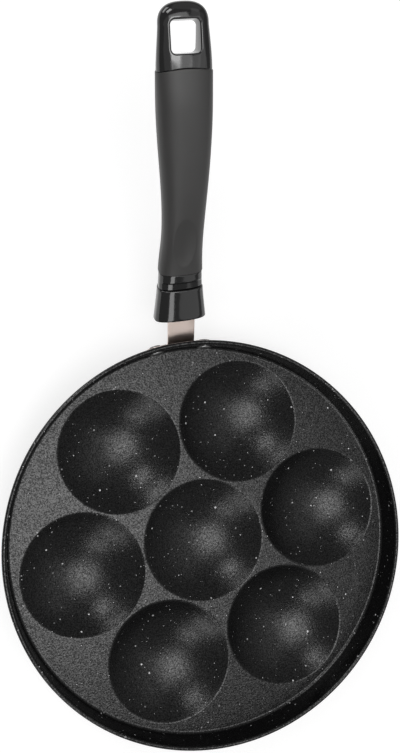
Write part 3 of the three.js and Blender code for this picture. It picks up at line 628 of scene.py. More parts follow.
def turning_tree():
    tree, start = geometry_tree("turn_profile", {"Sides": "Int", "Places": "Object"})
    profile = start.outputs["Geometry"]
    count = add_node(tree, "GeometryNodeAttributeDomainSize", Geometry=profile).outputs["Point Count"]
    across = maths(tree, "ADD", start.outputs["Sides"], 1)
    grid = add_node(tree, "GeometryNodeMeshGrid", Size_X=1.0, Size_Y=1.0, Vertices_X=count, Vertices_Y=across)
    spot = spot_of(tree)
    rows = maths(tree, "SUBTRACT", count, 1)
    row = maths(tree, "ROUND", maths(tree, "MULTIPLY", maths(tree, "ADD", spot["X"], 0.5), rows))
    angle = maths(tree, "MULTIPLY", maths(tree, "ADD", spot["Y"], 0.5), 2 * pi)
    vector = {"data_type": "FLOAT_VECTOR"}
    here = tree.nodes.new("GeometryNodeInputPosition").outputs["Position"]
    sample = add_node(tree, "GeometryNodeSampleIndex", vector, Geometry=profile, Value=here, Index=row)
    point = add_node(tree, "ShaderNodeSeparateXYZ", Vector=sample.outputs["Value"]).outputs
    x, y = [maths(tree, "MULTIPLY", point["X"], maths(tree, way, angle)) for way in ("COSINE", "SINE")]
    turned = add_node(tree, "ShaderNodeCombineXYZ", X=x, Y=y, Z=point["Z"]).outputs["Vector"]
    body = add_node(tree, "GeometryNodeSetPosition", Geometry=grid.outputs["Mesh"], Position=turned)
    sewn = add_node(tree, "GeometryNodeMergeByDistance", Geometry=body.outputs["Geometry"], Distance=1e-6)
    places = add_node(tree, "GeometryNodeObjectInfo", Object=start.outputs["Places"])
    outward = add_node(tree, "GeometryNodeInputNamedAttribute", vector, Name="outward").outputs["Attribute"]
    stand = add_node(tree, "FunctionNodeAlignRotationToVector", {"axis": "Z"}, Vector=outward)
    copies = add_node(tree, "GeometryNodeInstanceOnPoints", Points=places.outputs["Geometry"])
    join(tree, sewn.outputs["Geometry"], copies.inputs["Instance"])
    join(tree, stand.outputs["Rotation"], copies.inputs["Rotation"])
    end_tree(tree, start, copies.outputs["Instances"])
    return tree


turn_profile = turning_tree()


def turned_piece(name, profile, material, places=((0, 0, 0),), outward=((0, 0, 1),), sides=TURNED_SIDES):
    """Turn a profile of (radius, height) and set it on each place, along its outward direction."""
    spots = mesh_object(name + "_places", places)
    direction = spots.data.attributes.new("outward", "FLOAT_VECTOR", "POINT")
    direction.data.foreach_set("vector", np.asarray(outward, float).ravel())
    rows = [(radius, 0.0, height) for radius, height in profile]
    piece = mesh_object(name, rows)
    run_tree(piece, turn_profile, {"Sides": sides, "Places": spots, "Material": material})
    drop(spots)
    return piece


print("nodes in the turning tree:", len(turn_profile.nodes))

# %% Turn the wall and join the pan
def arc(centre_r, centre_z, radius, start, end, steps):
    """Points of a profile along an arc; the angles are in degrees."""
    angles = np.radians(np.linspace(start, end, steps + 1))
    return [(centre_r + radius * cos(a), centre_z + radius * sin(a)) for a in angles]


lean = degrees(WALL_LEAN)
under_bead = degrees(acos((WALL - RIM_BEAD) / RIM_BEAD))
wall_profile = [
    *arc(fillet_radius, FLOOR_Z + FLOOR_FILLET, FLOOR_FILLET, -90, -lean, 8),
    *arc(RIM_RADIUS - RIM_BEAD, BEAD_Z, RIM_BEAD, 180 - lean, -under_bead, 20),
    *arc(corner_radius, UNDER_Z + OUTER_CORNER, OUTER_CORNER, -lean, -90, 10),
]
pan_wall = turned_piece("pan_wall", wall_profile, coating, sides=RIM_SIDES)

joined = bmesh.new()
for part in (top_blank, under_blank, pan_wall):
    joined.from_mesh(part.data)
pan_mesh = bpy.data.meshes.new("coated_pan")
joined.to_mesh(pan_mesh)
joined.free()
pan_mesh.materials.append(coating)
pan = object_of("coated_pan", pan_mesh)
hand_over(pan, "pan_body", sharp_angle=60)
for part in (top_blank, under_blank, pan_wall, well_centres):
    drop(part)

# %% [markdown]
# ## The rivets
# Two rivets hold the bracket to the wall. Inside the pan their heads are low domes, outside they end
# in a smaller upset tail. They repeat, so the turning tree makes the profile once and sets a copy on
# each place, square to the leaning wall.

# %% Set the rivets
CLEARANCE = 0.3
SHEET = 1.5
SHEET_GAP = 0.05
RIVET_SPACING = 29.2
RIVET_ABOVE_FILLET = 0.2
RIVET_SHANK_RADIUS = 2.5
RIVET_HEAD_RADIUS = 4.5
RIVET_HEAD_HEIGHT = 1.9
RIVET_TAIL_RADIUS = 3.4
RIVET_TAIL_HEIGHT = 0.8
RIVET_HEAD_SUNK = 0.25
RIVET_EDGE = 0.2
RIVET_Z = FLOOR_Z + FLOOR_FILLET + RIVET_HEAD_RADIUS + RIVET_ABOVE_FILLET


def dome(radius, seat, height, start, end):
    """Part of a flattened dome on a seat; angles in degrees, 90 is its top."""
    angles = np.radians(np.linspace(start, end, 13))
    return [(abs(radius * cos(a)), seat + height * sin(a)) for a in angles]


tail_seat = WALL + 2 * SHEET_GAP + SHEET
rivet_profile = [
    *dome(RIVET_HEAD_RADIUS, -RIVET_HEAD_SUNK, RIVET_HEAD_HEIGHT, -90, 0),
    (RIVET_HEAD_RADIUS - RIVET_EDGE, 0.0),
    (RIVET_SHANK_RADIUS, 0.0),
    (RIVET_SHANK_RADIUS, tail_seat),
    (RIVET_TAIL_RADIUS - RIVET_EDGE, tail_seat),
    *dome(RIVET_TAIL_RADIUS, tail_seat + RIVET_EDGE, RIVET_TAIL_HEIGHT, 0, 90),
]
wall_here = wall_radius(RIVET_Z)
rivet_turn = asin(RIVET_SPACING / 2 / wall_here)
rivets = []
for node, side in (("rivet_left", -1), ("rivet_right", 1)):
    facing = (side * sin(rivet_turn), cos(rivet_turn))
    place_on_wall = (wall_here * facing[0], wall_here * facing[1], RIVET_Z)
    outward = (*facing, -tan(WALL_LEAN))
    rivet = turned_piece("coated_" + node, rivet_profile, rivet_coat, [place_on_wall], [outward])
    hand_over(rivet, node, sharp_angle=50)
    rivets.append(rivet)

# %% [markdown]
# ## The bracket
# The bracket starts life as one flat blank of sheet steel. It is wrapped round the wall, bent up
# towards the handle, and its edges are folded down to make a stiff channel. The script does the same:
# it fills the flat outline with triangles, then moves each point to where forming carries it.

# %% Sizes of the bracket and the handle's start
BEND_RADIUS = 5.9
TONGUE_WIDTH = 15.8
TONGUE_DEPTH = 6.0
TONGUE_TOP = 3.4
TONGUE_REACH = 25.0
FLANGE_BORDER = 5.0
FLANGE_CORNER = 4.0
STRAP_RELIEF = 1.2
STRAP_ABOVE_RIVETS = 3.6
HANDLE_REACH = 14.9
HANDLE_RISE = radians(33)
SCREW_FROM_MOUTH = 10.5
SCREW_RADIUS = 2.5
HOLE_CLEARANCE = 0.3


def flange_radius(z):
    """Inside radius of the flange, which is pulled tight against the wall."""
    return wall_radius(z) + WALL + SHEET_GAP


STRAP_Z = RIVET_Z + STRAP_ABOVE_RIVETS
STRAP_Y = wall_radius(STRAP_Z) + WALL + CLEARANCE
HANDLE_Y = RIM_RADIUS + HANDLE_REACH
TONGUE_Y = HANDLE_Y - TONGUE_TOP * sin(HANDLE_RISE)
TONGUE_Z = STRAP_Z + tan(HANDLE_RISE) * (TONGUE_Y - STRAP_Y)
HANDLE_Z = TONGUE_Z - TONGUE_TOP * cos(HANDLE_RISE)
print("handle starts at y, z in mm:", round(HANDLE_Y, 2), round(HANDLE_Z, 2))

# %% [markdown]
# ### Forming the sheet
# The blank is drawn in its own flat coordinates: x across, and t along the strip from the flange's
# lower edge to the tongue's end. Three forming steps follow each other: the wrap round the wall, the
# bend, and the channel folds, whose angle grows from nothing so that they run out softly.

# %% Outline of the sheet
FOLD_RADIUS = 2.0
RUN_OUT = 4.0
EAR_CORNER = 0.8
SIDE_SLOPE = 0.5
SIDE_START = 3.5

turn = pi / 2 - WALL_LEAN - HANDLE_RISE
outer_bend = BEND_RADIUS + SHEET
bend_run = outer_bend * tan(turn / 2)
pulled_in = (CLEARANCE - SHEET_GAP) / (1 - tan(HANDLE_RISE) * tan(WALL_LEAN))
corner_y = STRAP_Y - pulled_in
corner_z = STRAP_Z - pulled_in * tan(HANDLE_RISE)
flange_low = RIVET_Z - FLANGE_BORDER
flange_high = RIVET_Z + FLANGE_BORDER
bend_start_z = corner_z - bend_run * cos(WALL_LEAN)
t_bend = (bend_start_z - flange_low) / cos(WALL_LEAN)
t_straight = t_bend + outer_bend * turn
t_mouth = t_straight + hypot(TONGUE_Y - corner_y, TONGUE_Z - corner_z) - bend_run
t_end = t_mouth + TONGUE_REACH
t_folded = t_mouth + RUN_OUT
t_relief = t_bend - STRAP_RELIEF
t_high = flange_high - flange_low
strap_half = TONGUE_WIDTH / 2
web_half = strap_half - FOLD_RADIUS
fold_length = FOLD_RADIUS * pi / 2
side_half = web_half + fold_length + TONGUE_DEPTH - FOLD_RADIUS
flange_half = RIVET_SPACING / 2 + FLANGE_BORDER
relief = strap_half + STRAP_RELIEF
right_side = [
    *arc(flange_half - FLANGE_CORNER, FLANGE_CORNER, FLANGE_CORNER, -90, 0, 8),
    *arc(flange_half - FLANGE_CORNER, t_high - FLANGE_CORNER, FLANGE_CORNER, 0, 90, 8),
    *arc(relief + EAR_CORNER, t_high - EAR_CORNER, EAR_CORNER, 90, 180, 4),
    *arc(relief - STRAP_RELIEF / 2, t_relief + STRAP_RELIEF / 2, STRAP_RELIEF / 2, 0, -180, 6),
    *[(strap_half, t) for t in np.linspace(t_bend, t_folded, 20)],
    *[(x, t_folded + SIDE_SLOPE * (x - strap_half)) for x in np.linspace(strap_half, side_half, 6)[1:]],
    *[(side_half, t) for t in np.linspace(t_folded + SIDE_START, t_end, 18)],
    *[(x, t_end) for x in np.linspace(side_half, 0, 14)[1:]],
]
outline = right_side + [(-x, t) for x, t in reversed(right_side[:-1])]
t_rivet = FLANGE_BORDER
x_rivet = rivet_turn * flange_radius(RIVET_Z)
t_screw = t_end - (TONGUE_REACH - SCREW_FROM_MOUTH)
sheet_holes = [
    (-x_rivet, t_rivet, RIVET_SHANK_RADIUS + HOLE_CLEARANCE),
    (x_rivet, t_rivet, RIVET_SHANK_RADIUS + HOLE_CLEARANCE),
    (0.0, t_screw, SCREW_RADIUS + HOLE_CLEARANCE),
]
print("flat length of the sheet in mm:", round(t_end, 1))

# %% Form the sheet
SHEET_HOLE_SIDES = 24
GRID_REACH = 21.5
GRID_ACROSS = 1.0
GRID_ALONG = 0.8
GRID_ROOM = 0.5
EDGE_BREAK = 0.25


def inside(points, polygon):
    """Which points lie inside a closed outline, by counting crossings."""
    count = np.zeros(len(points), int)
    for (ax, ay), (bx, by) in zip(polygon, polygon[1:] + polygon[:1]):
        if ay != by:
            crossing = ax + (points[:, 1] - ay) * (bx - ax) / (by - ay)
            count += ((points[:, 1] < ay) != (points[:, 1] < by)) & (points[:, 0] < crossing)
    return count % 2 == 1


def formed(x, t):
    """Where a point of the flat sheet ends up on the formed bracket."""
    past = max(t - t_bend, 0.0)
    heading = pi / 2 - WALL_LEAN - min(past / outer_bend, turn)
    z = flange_low + min(t, t_bend) * cos(WALL_LEAN)
    y = flange_radius(flange_low) + min(t, t_bend) * sin(WALL_LEAN)
    if past > 0:
        straight = max(t - t_straight, 0.0)
        y += outer_bend * (cos(WALL_LEAN) - sin(heading)) + straight * cos(HANDLE_RISE)
        z += outer_bend * (cos(heading) - sin(WALL_LEAN)) + straight * sin(HANDLE_RISE)
    fold = pi / 2 * min(max((t - t_folded + RUN_OUT) / RUN_OUT, 0.0), 1.0)
    over = max(abs(x) - web_half, 0.0)
    across = abs(x)
    down = 0.0
    if fold > 0 and over > 0:
        bow = fold_length / fold
        part = fold * min(over / fold_length, 1.0)
        rest = max(over - fold_length, 0.0)
        across = web_half + bow * sin(part) + rest * cos(fold)
        down = bow * (1 - cos(part)) + rest * sin(fold)
    ears = t > t_bend and abs(x) > strap_half + 0.01 and t <= t_high and t < t_folded
    if ears or t <= t_bend:
        z = flange_low + t * cos(WALL_LEAN)
        around = x / flange_radius(z)
        return (flange_radius(z) * sin(around), flange_radius(z) * cos(around), z)
    sag = flange_radius(z) - sqrt(flange_radius(z) ** 2 - across**2)
    fade = max(0.0, 1.0 - past / (outer_bend * turn))
    y += down * sin(HANDLE_RISE) - sag * fade
    return (copysign(across, x), y, z - down * cos(HANDLE_RISE))


def sheet_blank():
    flat = [*outline]
    fixed = loop_edges(0, len(outline))
    for x, t, radius in sheet_holes:
        fixed += loop_edges(len(flat), SHEET_HOLE_SIDES)
        flat.extend(circle(radius, SHEET_HOLE_SIDES, (x, t)))
    across = np.arange(-GRID_REACH, GRID_REACH + GRID_ROOM, GRID_ACROSS)
    columns, rows = np.meshgrid(across, np.arange(GRID_ROOM, t_end, GRID_ALONG))
    grid = np.column_stack([columns.ravel(), rows.ravel()])
    border = np.array(flat)
    room = np.linalg.norm(grid[:, None] - border[None], axis=2).min(axis=1)
    flat.extend(grid[inside(grid, outline) & (room > GRID_ROOM)])
    spots, triangles, middles = fill(flat, fixed)
    keep = inside(middles, outline)
    for x, t, radius in sheet_holes:
        keep &= np.linalg.norm(middles - (x, t), axis=1) > radius * cos(pi / SHEET_HOLE_SIDES)
    return [formed(x, t) for x, t in spots], [face for face, kept in zip(triangles, keep) if kept]


bracket = mesh_object("bent_bracket", *sheet_blank())
bracket.data.materials.append(satin_steel)
thickness = bracket.modifiers.new("sheet", "SOLIDIFY")
thickness.thickness = SHEET * MM
thickness.offset = -1
rounding = bracket.modifiers.new("edges", "BEVEL")
rounding.width = EDGE_BREAK * MM
rounding.segments = 2
rounding.limit_method = "ANGLE"
rounding.angle_limit = radians(60)
bake(bracket)
hand_over(bracket, "handle_bracket", sharp_angle=45)

# %% [markdown]
# ## The handle's route
# Guard, core and sleeve all follow one curved route that leaves the guard at a steep angle, swings
# up at the waist and flattens towards the loop. They are modelled lying straight along Y, where
# sections and cuts are easy, and a Geometry Nodes tree then bends each of them onto the route.

# %% Draw the route
HANDLE_LENGTH = 173.1
SLEEVE_END = 143.3
ROUTE_LEAD = 10.0
RISE_AT = (0.0, 26.0, 44.0, 100.0, SLEEVE_END, HANDLE_LENGTH)
RISE_DEGREES = (33.0, 33.0, 45.0, 28.9, 28.2, 18.0)

steps = np.arange(-ROUTE_LEAD, HANDLE_LENGTH + ROUTE_LEAD, 0.25)
rises = np.radians(np.interp(steps, RISE_AT, RISE_DEGREES))
middles = (rises[1:] + rises[:-1]) / 2
run_y = np.concatenate([[0.0], np.cumsum(np.diff(steps) * np.cos(middles))])
run_z = np.concatenate([[0.0], np.cumsum(np.diff(steps) * np.sin(middles))])
run_y += HANDLE_Y - np.interp(0.0, steps, run_y)
run_z += HANDLE_Z - np.interp(0.0, steps, run_z)
route_data = bpy.data.curves.new("handle_route", "CURVE")
route_data.dimensions = "3D"
spline = route_data.splines.new("POLY")
spline.points.add(len(steps) - 1)
for point, y, z in zip(spline.points, run_y, run_z):
    point.co = (0.0, y * MM, z * MM, 1.0)
route = object_of("handle_route", route_data)
print("loop end at y, z in mm:", round(float(run_y[-1]), 1), round(float(run_z[-1]), 1))


# %% Build the bending tree
def bending_tree():
    tree, start = geometry_tree("bend_onto_route", {"Route": "Object", "Lead": "Float"})
    path = add_node(tree, "GeometryNodeObjectInfo", Object=start.outputs["Route"])
    spot = spot_of(tree)
    there = add_node(tree, "GeometryNodeSampleCurve", {"mode": "LENGTH"}, Curves=path.outputs["Geometry"])
    join(tree, maths(tree, "ADD", spot["Y"], start.outputs["Lead"]), there.inputs["Length"])
    upward = vectors(tree, "CROSS_PRODUCT", (1.0, 0.0, 0.0), there.outputs["Tangent"])
    lifted = vectors(tree, "MULTIPLY", upward, spot["Z"])
    aside = add_node(tree, "ShaderNodeCombineXYZ", X=spot["X"]).outputs["Vector"]
    goal = vectors(tree, "ADD", vectors(tree, "ADD", there.outputs["Position"], aside), lifted)
    bent = add_node(tree, "GeometryNodeSetPosition", Geometry=start.outputs["Geometry"], Position=goal)
    end_tree(tree, start, bent.outputs["Geometry"])
    return tree


bend_onto_route = bending_tree()


def bend(piece, material):
    """Carry a piece that lies straight along Y onto the handle's route."""
    run_tree(piece, bend_onto_route, {"Route": route, "Lead": ROUTE_LEAD * MM, "Material": material})


print("nodes in the bending tree:", len(bend_onto_route.nodes))

# %% [markdown]
# ## The handle's skin
# A hand feels one smooth form from guard to loop, so all the pieces share one skin. Seven sections
# give its half width, its height above the route and its depth below it; a curve that never
# overshoots runs through them, and each section is a rounded outline, flatter on top than below.

# %% Sections of the skin
GUARD_LENGTH = 19.8
SLEEVE_START = 30.0
WAIST_AT = 54.0
PALM_AT = 124.0
LOOP_SHOULDER = 10.8
SEAM_SWEEP = 2.0
ROUNDNESS = 2.4
TIP_ROUNDNESS = 2.6
SHOULDER_AT = HANDLE_LENGTH - LOOP_SHOULDER
SECTION_AT = np.array((0.0, GUARD_LENGTH, SLEEVE_START, WAIST_AT, PALM_AT, SLEEVE_END, SHOULDER_AT))
HALF_WIDTHS = np.array((15.2, 13.0, 12.5, 11.45, 14.5, 14.55, 13.1))
HEIGHTS = np.array((7.0, 6.2, 6.4, 6.5, 8.5, 7.0, 5.6))
DEPTHS = np.array((15.0, 12.5, 12.0, 11.0, 12.5, 9.0, 5.8))


def through(values, at):
    """A smooth curve through the sections that never overshoots them."""
    grade = np.diff(values) / np.diff(SECTION_AT)
    same_way = grade[:-1] * grade[1:] > 0
    total = np.where(same_way, grade[:-1] + grade[1:], 1.0)
    middle = np.where(same_way, 2 * grade[:-1] * grade[1:] / total, 0.0)
    tangent = np.concatenate([grade[:1], middle, grade[-1:]])
    i = np.clip(np.searchsorted(SECTION_AT, at, side="right") - 1, 0, len(values) - 2)
    span = SECTION_AT[i + 1] - SECTION_AT[i]
    t = np.clip((at - SECTION_AT[i]) / span, 0.0, 1.0)
    start = values[i] * (2 * t**3 - 3 * t**2 + 1) + span * tangent[i] * (t**3 - 2 * t**2 + t)
    end = values[i + 1] * (3 * t**2 - 2 * t**3) + span * tangent[i + 1] * (t**3 - t**2)
    return start + end


def skin(at, inset=0.0):
    """Half width, height and depth of the skin at a distance along the route."""
    at = np.asarray(at, float)
    return through(HALF_WIDTHS, at) - inset, through(HEIGHTS, at) - inset, through(DEPTHS, at) - inset


def ease(value, low, high):
    t = np.clip((value - low) / (high - low), 0.0, 1.0)
    return t * t * (3 - 2 * t)


def seam_sweep(at):
    """How far the seam's ends lie behind its middle; it fades out along the palm and the loop."""
    return SEAM_SWEEP * (ease(at, PALM_AT, SLEEVE_END) - ease(at, SLEEVE_END, SHOULDER_AT))


def bulge(value, roundness):
    return np.sign(value) * np.abs(value) ** (2 / roundness)


HANDLE_SIDES = 128


def ring(at, size, roundness=ROUNDNESS, sides=HANDLE_SIDES, lean=0.0):
    """One section as points that lie straight along Y: across, along, up. It may lean back."""
    half, top, belly = size
    angles = 2 * pi * np.arange(sides) / sides
    across = bulge(np.cos(angles), roundness)
    side = bulge(np.sin(angles), roundness)
    up = side * np.where(side > 0, top, belly)
    forward = (top - up) * tan(lean) + seam_sweep(at) * across**2
    return np.stack([half * across, at - forward, up], axis=1)


def rounded_edge(steps):
    """Steps round an edge of radius 1: how far each lies behind the end and inside the skin."""
    return [(1 - sin(a), 1 - cos(a)) for a in np.linspace(pi / 2, 0, steps)]


def loft_faces(rings, sides, closed=False):
    """Faces between a row of rings, and from the last back to the first if it is closed."""
    faces = []
    for r in range(rings if closed else rings - 1):
        here = r * sides
        there = (r + 1) % rings * sides
        for a, b in loop_edges(0, sides):
            faces.append((here + a, here + b, there + b, there + a))
    return faces


def capped_loft(rings):
    """Points and faces of a row of rings with a flat fan at each end."""
    sides = len(rings[0])
    points = np.concatenate([*rings, [rings[0].mean(axis=0)], [rings[-1].mean(axis=0)]])
    faces = loft_faces(len(rings), sides)
    last = (len(rings) - 1) * sides
    for a, b in loop_edges(0, sides):
        faces.append((len(points) - 2, b, a))
        faces.append((len(points) - 1, last + a, last + b))
    return points, faces


print("width at the waist in mm:", round(float(2 * skin(WAIST_AT)[0]), 1))

# %% [markdown]
# ## Cutting tools for the mouldings
# Slots, seats and pockets are cut with Boolean modifiers while the piece still lies straight. The
# exact solver keeps the walls clean, and the cutters are thrown away afterwards.

# %% Cutting helpers
def cut(piece, cutters):
    for cutter in cutters:
        modifier = piece.modifiers.new("cut", "BOOLEAN")
        modifier.operation = "DIFFERENCE"
        modifier.solver = "EXACT"
        modifier.object = cutter
    bake(piece)
    for cutter in cutters:
        drop(cutter)


def block_cutter(name, low, high):
    """A cutter with square corners, from its low to its high corner."""
    corners = [(x, y, z) for x in (low[0], high[0]) for y in (low[1], high[1]) for z in (low[2], high[2])]
    sides = [(0, 1, 3, 2), (4, 6, 7, 5), (0, 4, 5, 1), (2, 3, 7, 6), (0, 2, 6, 4), (1, 5, 7, 3)]
    return mesh_object(name, corners, sides)


def round_cutter(name, radius, low, high, sides=64):
    """An upright round cutter on the screw's axis."""
    around = circle(radius, sides, (0.0, SCREW_FROM_MOUTH))
    rings = [np.column_stack([around, np.full(sides, z)]) for z in (low, high)]
    cutter = mesh_object(name, *capped_loft(rings))
    close_up(cutter, sharp_angle=30)
    return cutter


SPIGOT_SIZE = (10.3, 3.4, 7.9)
CAVITY_SIZE = (10.6, 3.7, 8.2)
SPIGOT_SQUARENESS = 4.0
POCKET_HALF = TONGUE_WIDTH / 2 + CLEARANCE
POCKET_FLOOR = TONGUE_TOP - TONGUE_DEPTH - CLEARANCE
GUARD_END = 3.0
SCREW_SEAT = -9.8
SEAT_WALL = 1.6
BELOW_GUARD = -20.0
BELOW_CORE = -16.0


def pocket_cutter():
    """The space that the bracket's tongue takes up."""
    low = (-POCKET_HALF, -GUARD_END, POCKET_FLOOR)
    high = (POCKET_HALF, TONGUE_REACH + CLEARANCE, TONGUE_TOP + CLEARANCE)
    return block_cutter("tongue_pocket", low, high)


print("tongue pocket in mm:", round(2 * POCKET_HALF, 2), "wide")

# %% [markdown]
# ## The flame guard
# The guard is the flared ferrule that keeps the flame off the grip. Its mouth has a fat rounded edge
# that catches a line of light, its upper end a small shoulder. It is lofted from sections of the
# skin, hollowed for the core's spigot, slotted for the tongue and sunk for the screw's head.

# %% Make the flame guard
GUARD_EDGE = 1.5
GUARD_SHOULDER = 0.7
GUARD_LEAN = radians(10)
SCREW_HEAD_RADIUS = 4.4


def guard_ring(at, inset=0.0):
    """A section of the guard; near the mouth it leans, so that the belly reaches further out."""
    return ring(at, skin(at, inset), lean=GUARD_LEAN * (1 - ease(at, 0.0, GUARD_LENGTH)))


guard_rings = [guard_ring(GUARD_EDGE * a, GUARD_EDGE * i) for a, i in rounded_edge(9)]
guard_rings += [guard_ring(at) for at in np.linspace(GUARD_EDGE, GUARD_LENGTH - GUARD_SHOULDER, 16)[1:]]
for a, i in reversed(rounded_edge(7)[:-1]):
    guard_rings.append(guard_ring(GUARD_LENGTH - GUARD_SHOULDER * a, GUARD_SHOULDER * i))
guard = mesh_object("flared_guard", *capped_loft(guard_rings))
close_up(guard, sharp_angle=50)
cavity_rings = [ring(at, CAVITY_SIZE, SPIGOT_SQUARENESS) for at in (GUARD_END, GUARD_LENGTH + GUARD_SHOULDER)]
cavity = mesh_object("spigot_cavity", *capped_loft(cavity_rings))
close_up(cavity, sharp_angle=50)
sink = round_cutter("screw_sink", SCREW_HEAD_RADIUS + HOLE_CLEARANCE, BELOW_GUARD, SCREW_SEAT)
bore_low = SCREW_SEAT - SEAT_WALL
bore_high = SCREW_SEAT + 2 * SEAT_WALL
bore = round_cutter("screw_bore", SCREW_RADIUS + HOLE_CLEARANCE, bore_low, bore_high)
cut(guard, [cavity, pocket_cutter(), sink, bore])
bend(guard, moulding)
hand_over(guard, "flame_guard", sharp_angle=40)

# %% [markdown]
# ## The core
# The core is one moulding: a square spigot in the guard, the glossy neck with a groove across its
# top, a spine inside the sleeve, and the hanging loop. Up to the loop it is a plain loft. The loop is
# a pillow with a hole, so its mesh runs in rays from the hole's edge to the outline instead.

# %% Rings of the neck and spine
SLEEVE_PROUD = 0.35
SLEEVE_THICKNESS = 2.2
GROOVE_LENGTH = 4.0
GROOVE_DEPTH = 0.9
NECK_EDGE = 0.25

neck_start = GUARD_LENGTH + CLEARANCE
groove_end = neck_start + GROOVE_LENGTH
groove_flank = (groove_end - 0.4, groove_end + 0.9)
neck_end = SLEEVE_START - CLEARANCE
loop_start = SLEEVE_END + CLEARANCE


def neck_ring(at, inset):
    """A section of the neck; its top is lowered where the groove runs."""
    half, top, belly = skin(at, SLEEVE_PROUD + inset)
    groove = GROOVE_DEPTH * (1 - ease(at, *groove_flank))
    return ring(at, (half, top - groove, belly))


core_rings = [ring(GUARD_END + CLEARANCE, SPIGOT_SIZE, SPIGOT_SQUARENESS)]
core_rings.append(ring(neck_start, SPIGOT_SIZE, SPIGOT_SQUARENESS))
rounded = rounded_edge(5)
core_rings += [neck_ring(neck_start + NECK_EDGE * a, NECK_EDGE * i) for a, i in rounded]
core_rings += [neck_ring(at, 0.0) for at in np.linspace(*groove_flank, 10)]
core_rings += [neck_ring(at, 0.0) for at in np.linspace(groove_end + 1.6, neck_end - NECK_EDGE, 6)]
core_rings += [neck_ring(neck_end - NECK_EDGE * a, NECK_EDGE * i) for a, i in reversed(rounded)]
spine = SLEEVE_THICKNESS + CLEARANCE
core_rings += [ring(at, skin(at, spine)) for at in np.linspace(neck_end, loop_start, 18)]
for a, i in rounded:
    at = loop_start + NECK_EDGE * a
    core_rings.append(ring(at, skin(at, SLEEVE_PROUD + NECK_EDGE * i)))
grid_start = loop_start + NECK_EDGE
print("rings before the loop:", len(core_rings))

# %% Outline of the loop and its hole
HOLE_WIDTH = 14.8
HOLE_LENGTH = 15.2
HOLE_CORNER = 2.4
HOLE_FROM_TIP = 8.5
HOLE_TILT = 17.5
HOLE_EDGE = 0.9
TILT_SPAN = 0.2
HOLE_MIDDLE = np.array((0.0, HANDLE_LENGTH - HOLE_FROM_TIP - HOLE_LENGTH / 2))
HOLE_SHEAR = tan(radians(np.interp(HOLE_MIDDLE[1], RISE_AT, RISE_DEGREES) - HOLE_TILT))
HOLE_INNER = np.array((HOLE_WIDTH / 2 - HOLE_CORNER, HOLE_LENGTH / 2 - HOLE_CORNER))

seam_angles = np.linspace(pi, 0, HANDLE_SIDES // 2 + 1)
seam_half = skin(grid_start, SLEEVE_PROUD)[0]
seam = [(seam_half * bulge(cos(a), ROUNDNESS), grid_start) for a in seam_angles]
flank_at = np.linspace(grid_start, SHOULDER_AT, 16)[1:]
right_flank = [(skin(at, SLEEVE_PROUD)[0], at) for at in flank_at]
tip_half = skin(SHOULDER_AT, SLEEVE_PROUD)[0]
tip_angles = np.linspace(0, pi, 73)[1:-1]
tip_across = tip_half * bulge(np.cos(tip_angles), TIP_ROUNDNESS)
tip_along = SHOULDER_AT + LOOP_SHOULDER * bulge(np.sin(tip_angles), TIP_ROUNDNESS)
tip = list(zip(tip_across, tip_along))
left_flank = [(-x, at) for x, at in reversed(right_flank)]
loop_outline = np.array(seam + right_flank + tip + left_flank)


def hole_distance(points):
    """How far points lie outside the hole's rounded outline."""
    past = np.abs(points - HOLE_MIDDLE) - HOLE_INNER
    return np.linalg.norm(np.maximum(past, 0.0), axis=-1) + np.minimum(past.max(axis=-1), 0.0) - HOLE_CORNER


near_end = np.zeros(len(loop_outline))
far_end = np.ones(len(loop_outline))
for _ in range(40):
    halfway = (near_end + far_end) / 2
    outside_hole = hole_distance(HOLE_MIDDLE + (loop_outline - HOLE_MIDDLE) * halfway[:, None]) > 0
    far_end = np.where(outside_hole, halfway, far_end)
    near_end = np.where(outside_hole, near_end, halfway)
hole_outline = HOLE_MIDDLE + (loop_outline - HOLE_MIDDLE) * far_end[:, None]
past_corner = np.maximum(np.abs(hole_outline - HOLE_MIDDLE) - HOLE_INNER, 0.0)
hole_normal = np.sign(hole_outline - HOLE_MIDDLE) * past_corner
hole_normal /= np.linalg.norm(hole_normal, axis=1)[:, None]
print("rays from hole to outline:", len(loop_outline))


# %% Rays of the loop
def pillow(points):
    """Height and depth of the loop's rounded pillow at places in its plan."""
    half, top, belly = skin(points[:, 1], SLEEVE_PROUD)
    along = np.clip((points[:, 1] - SHOULDER_AT) / LOOP_SHOULDER, 0.0, 1.0)
    narrowed = np.maximum((1 - along**TIP_ROUNDNESS) ** (1 / TIP_ROUNDNESS), 1e-6)
    room = 1 - (np.abs(points[:, 0]) / (half * narrowed)) ** ROUNDNESS
    left = narrowed * np.clip(room, 0.0, 1.0) ** (1 / ROUNDNESS)
    return top * left, belly * left


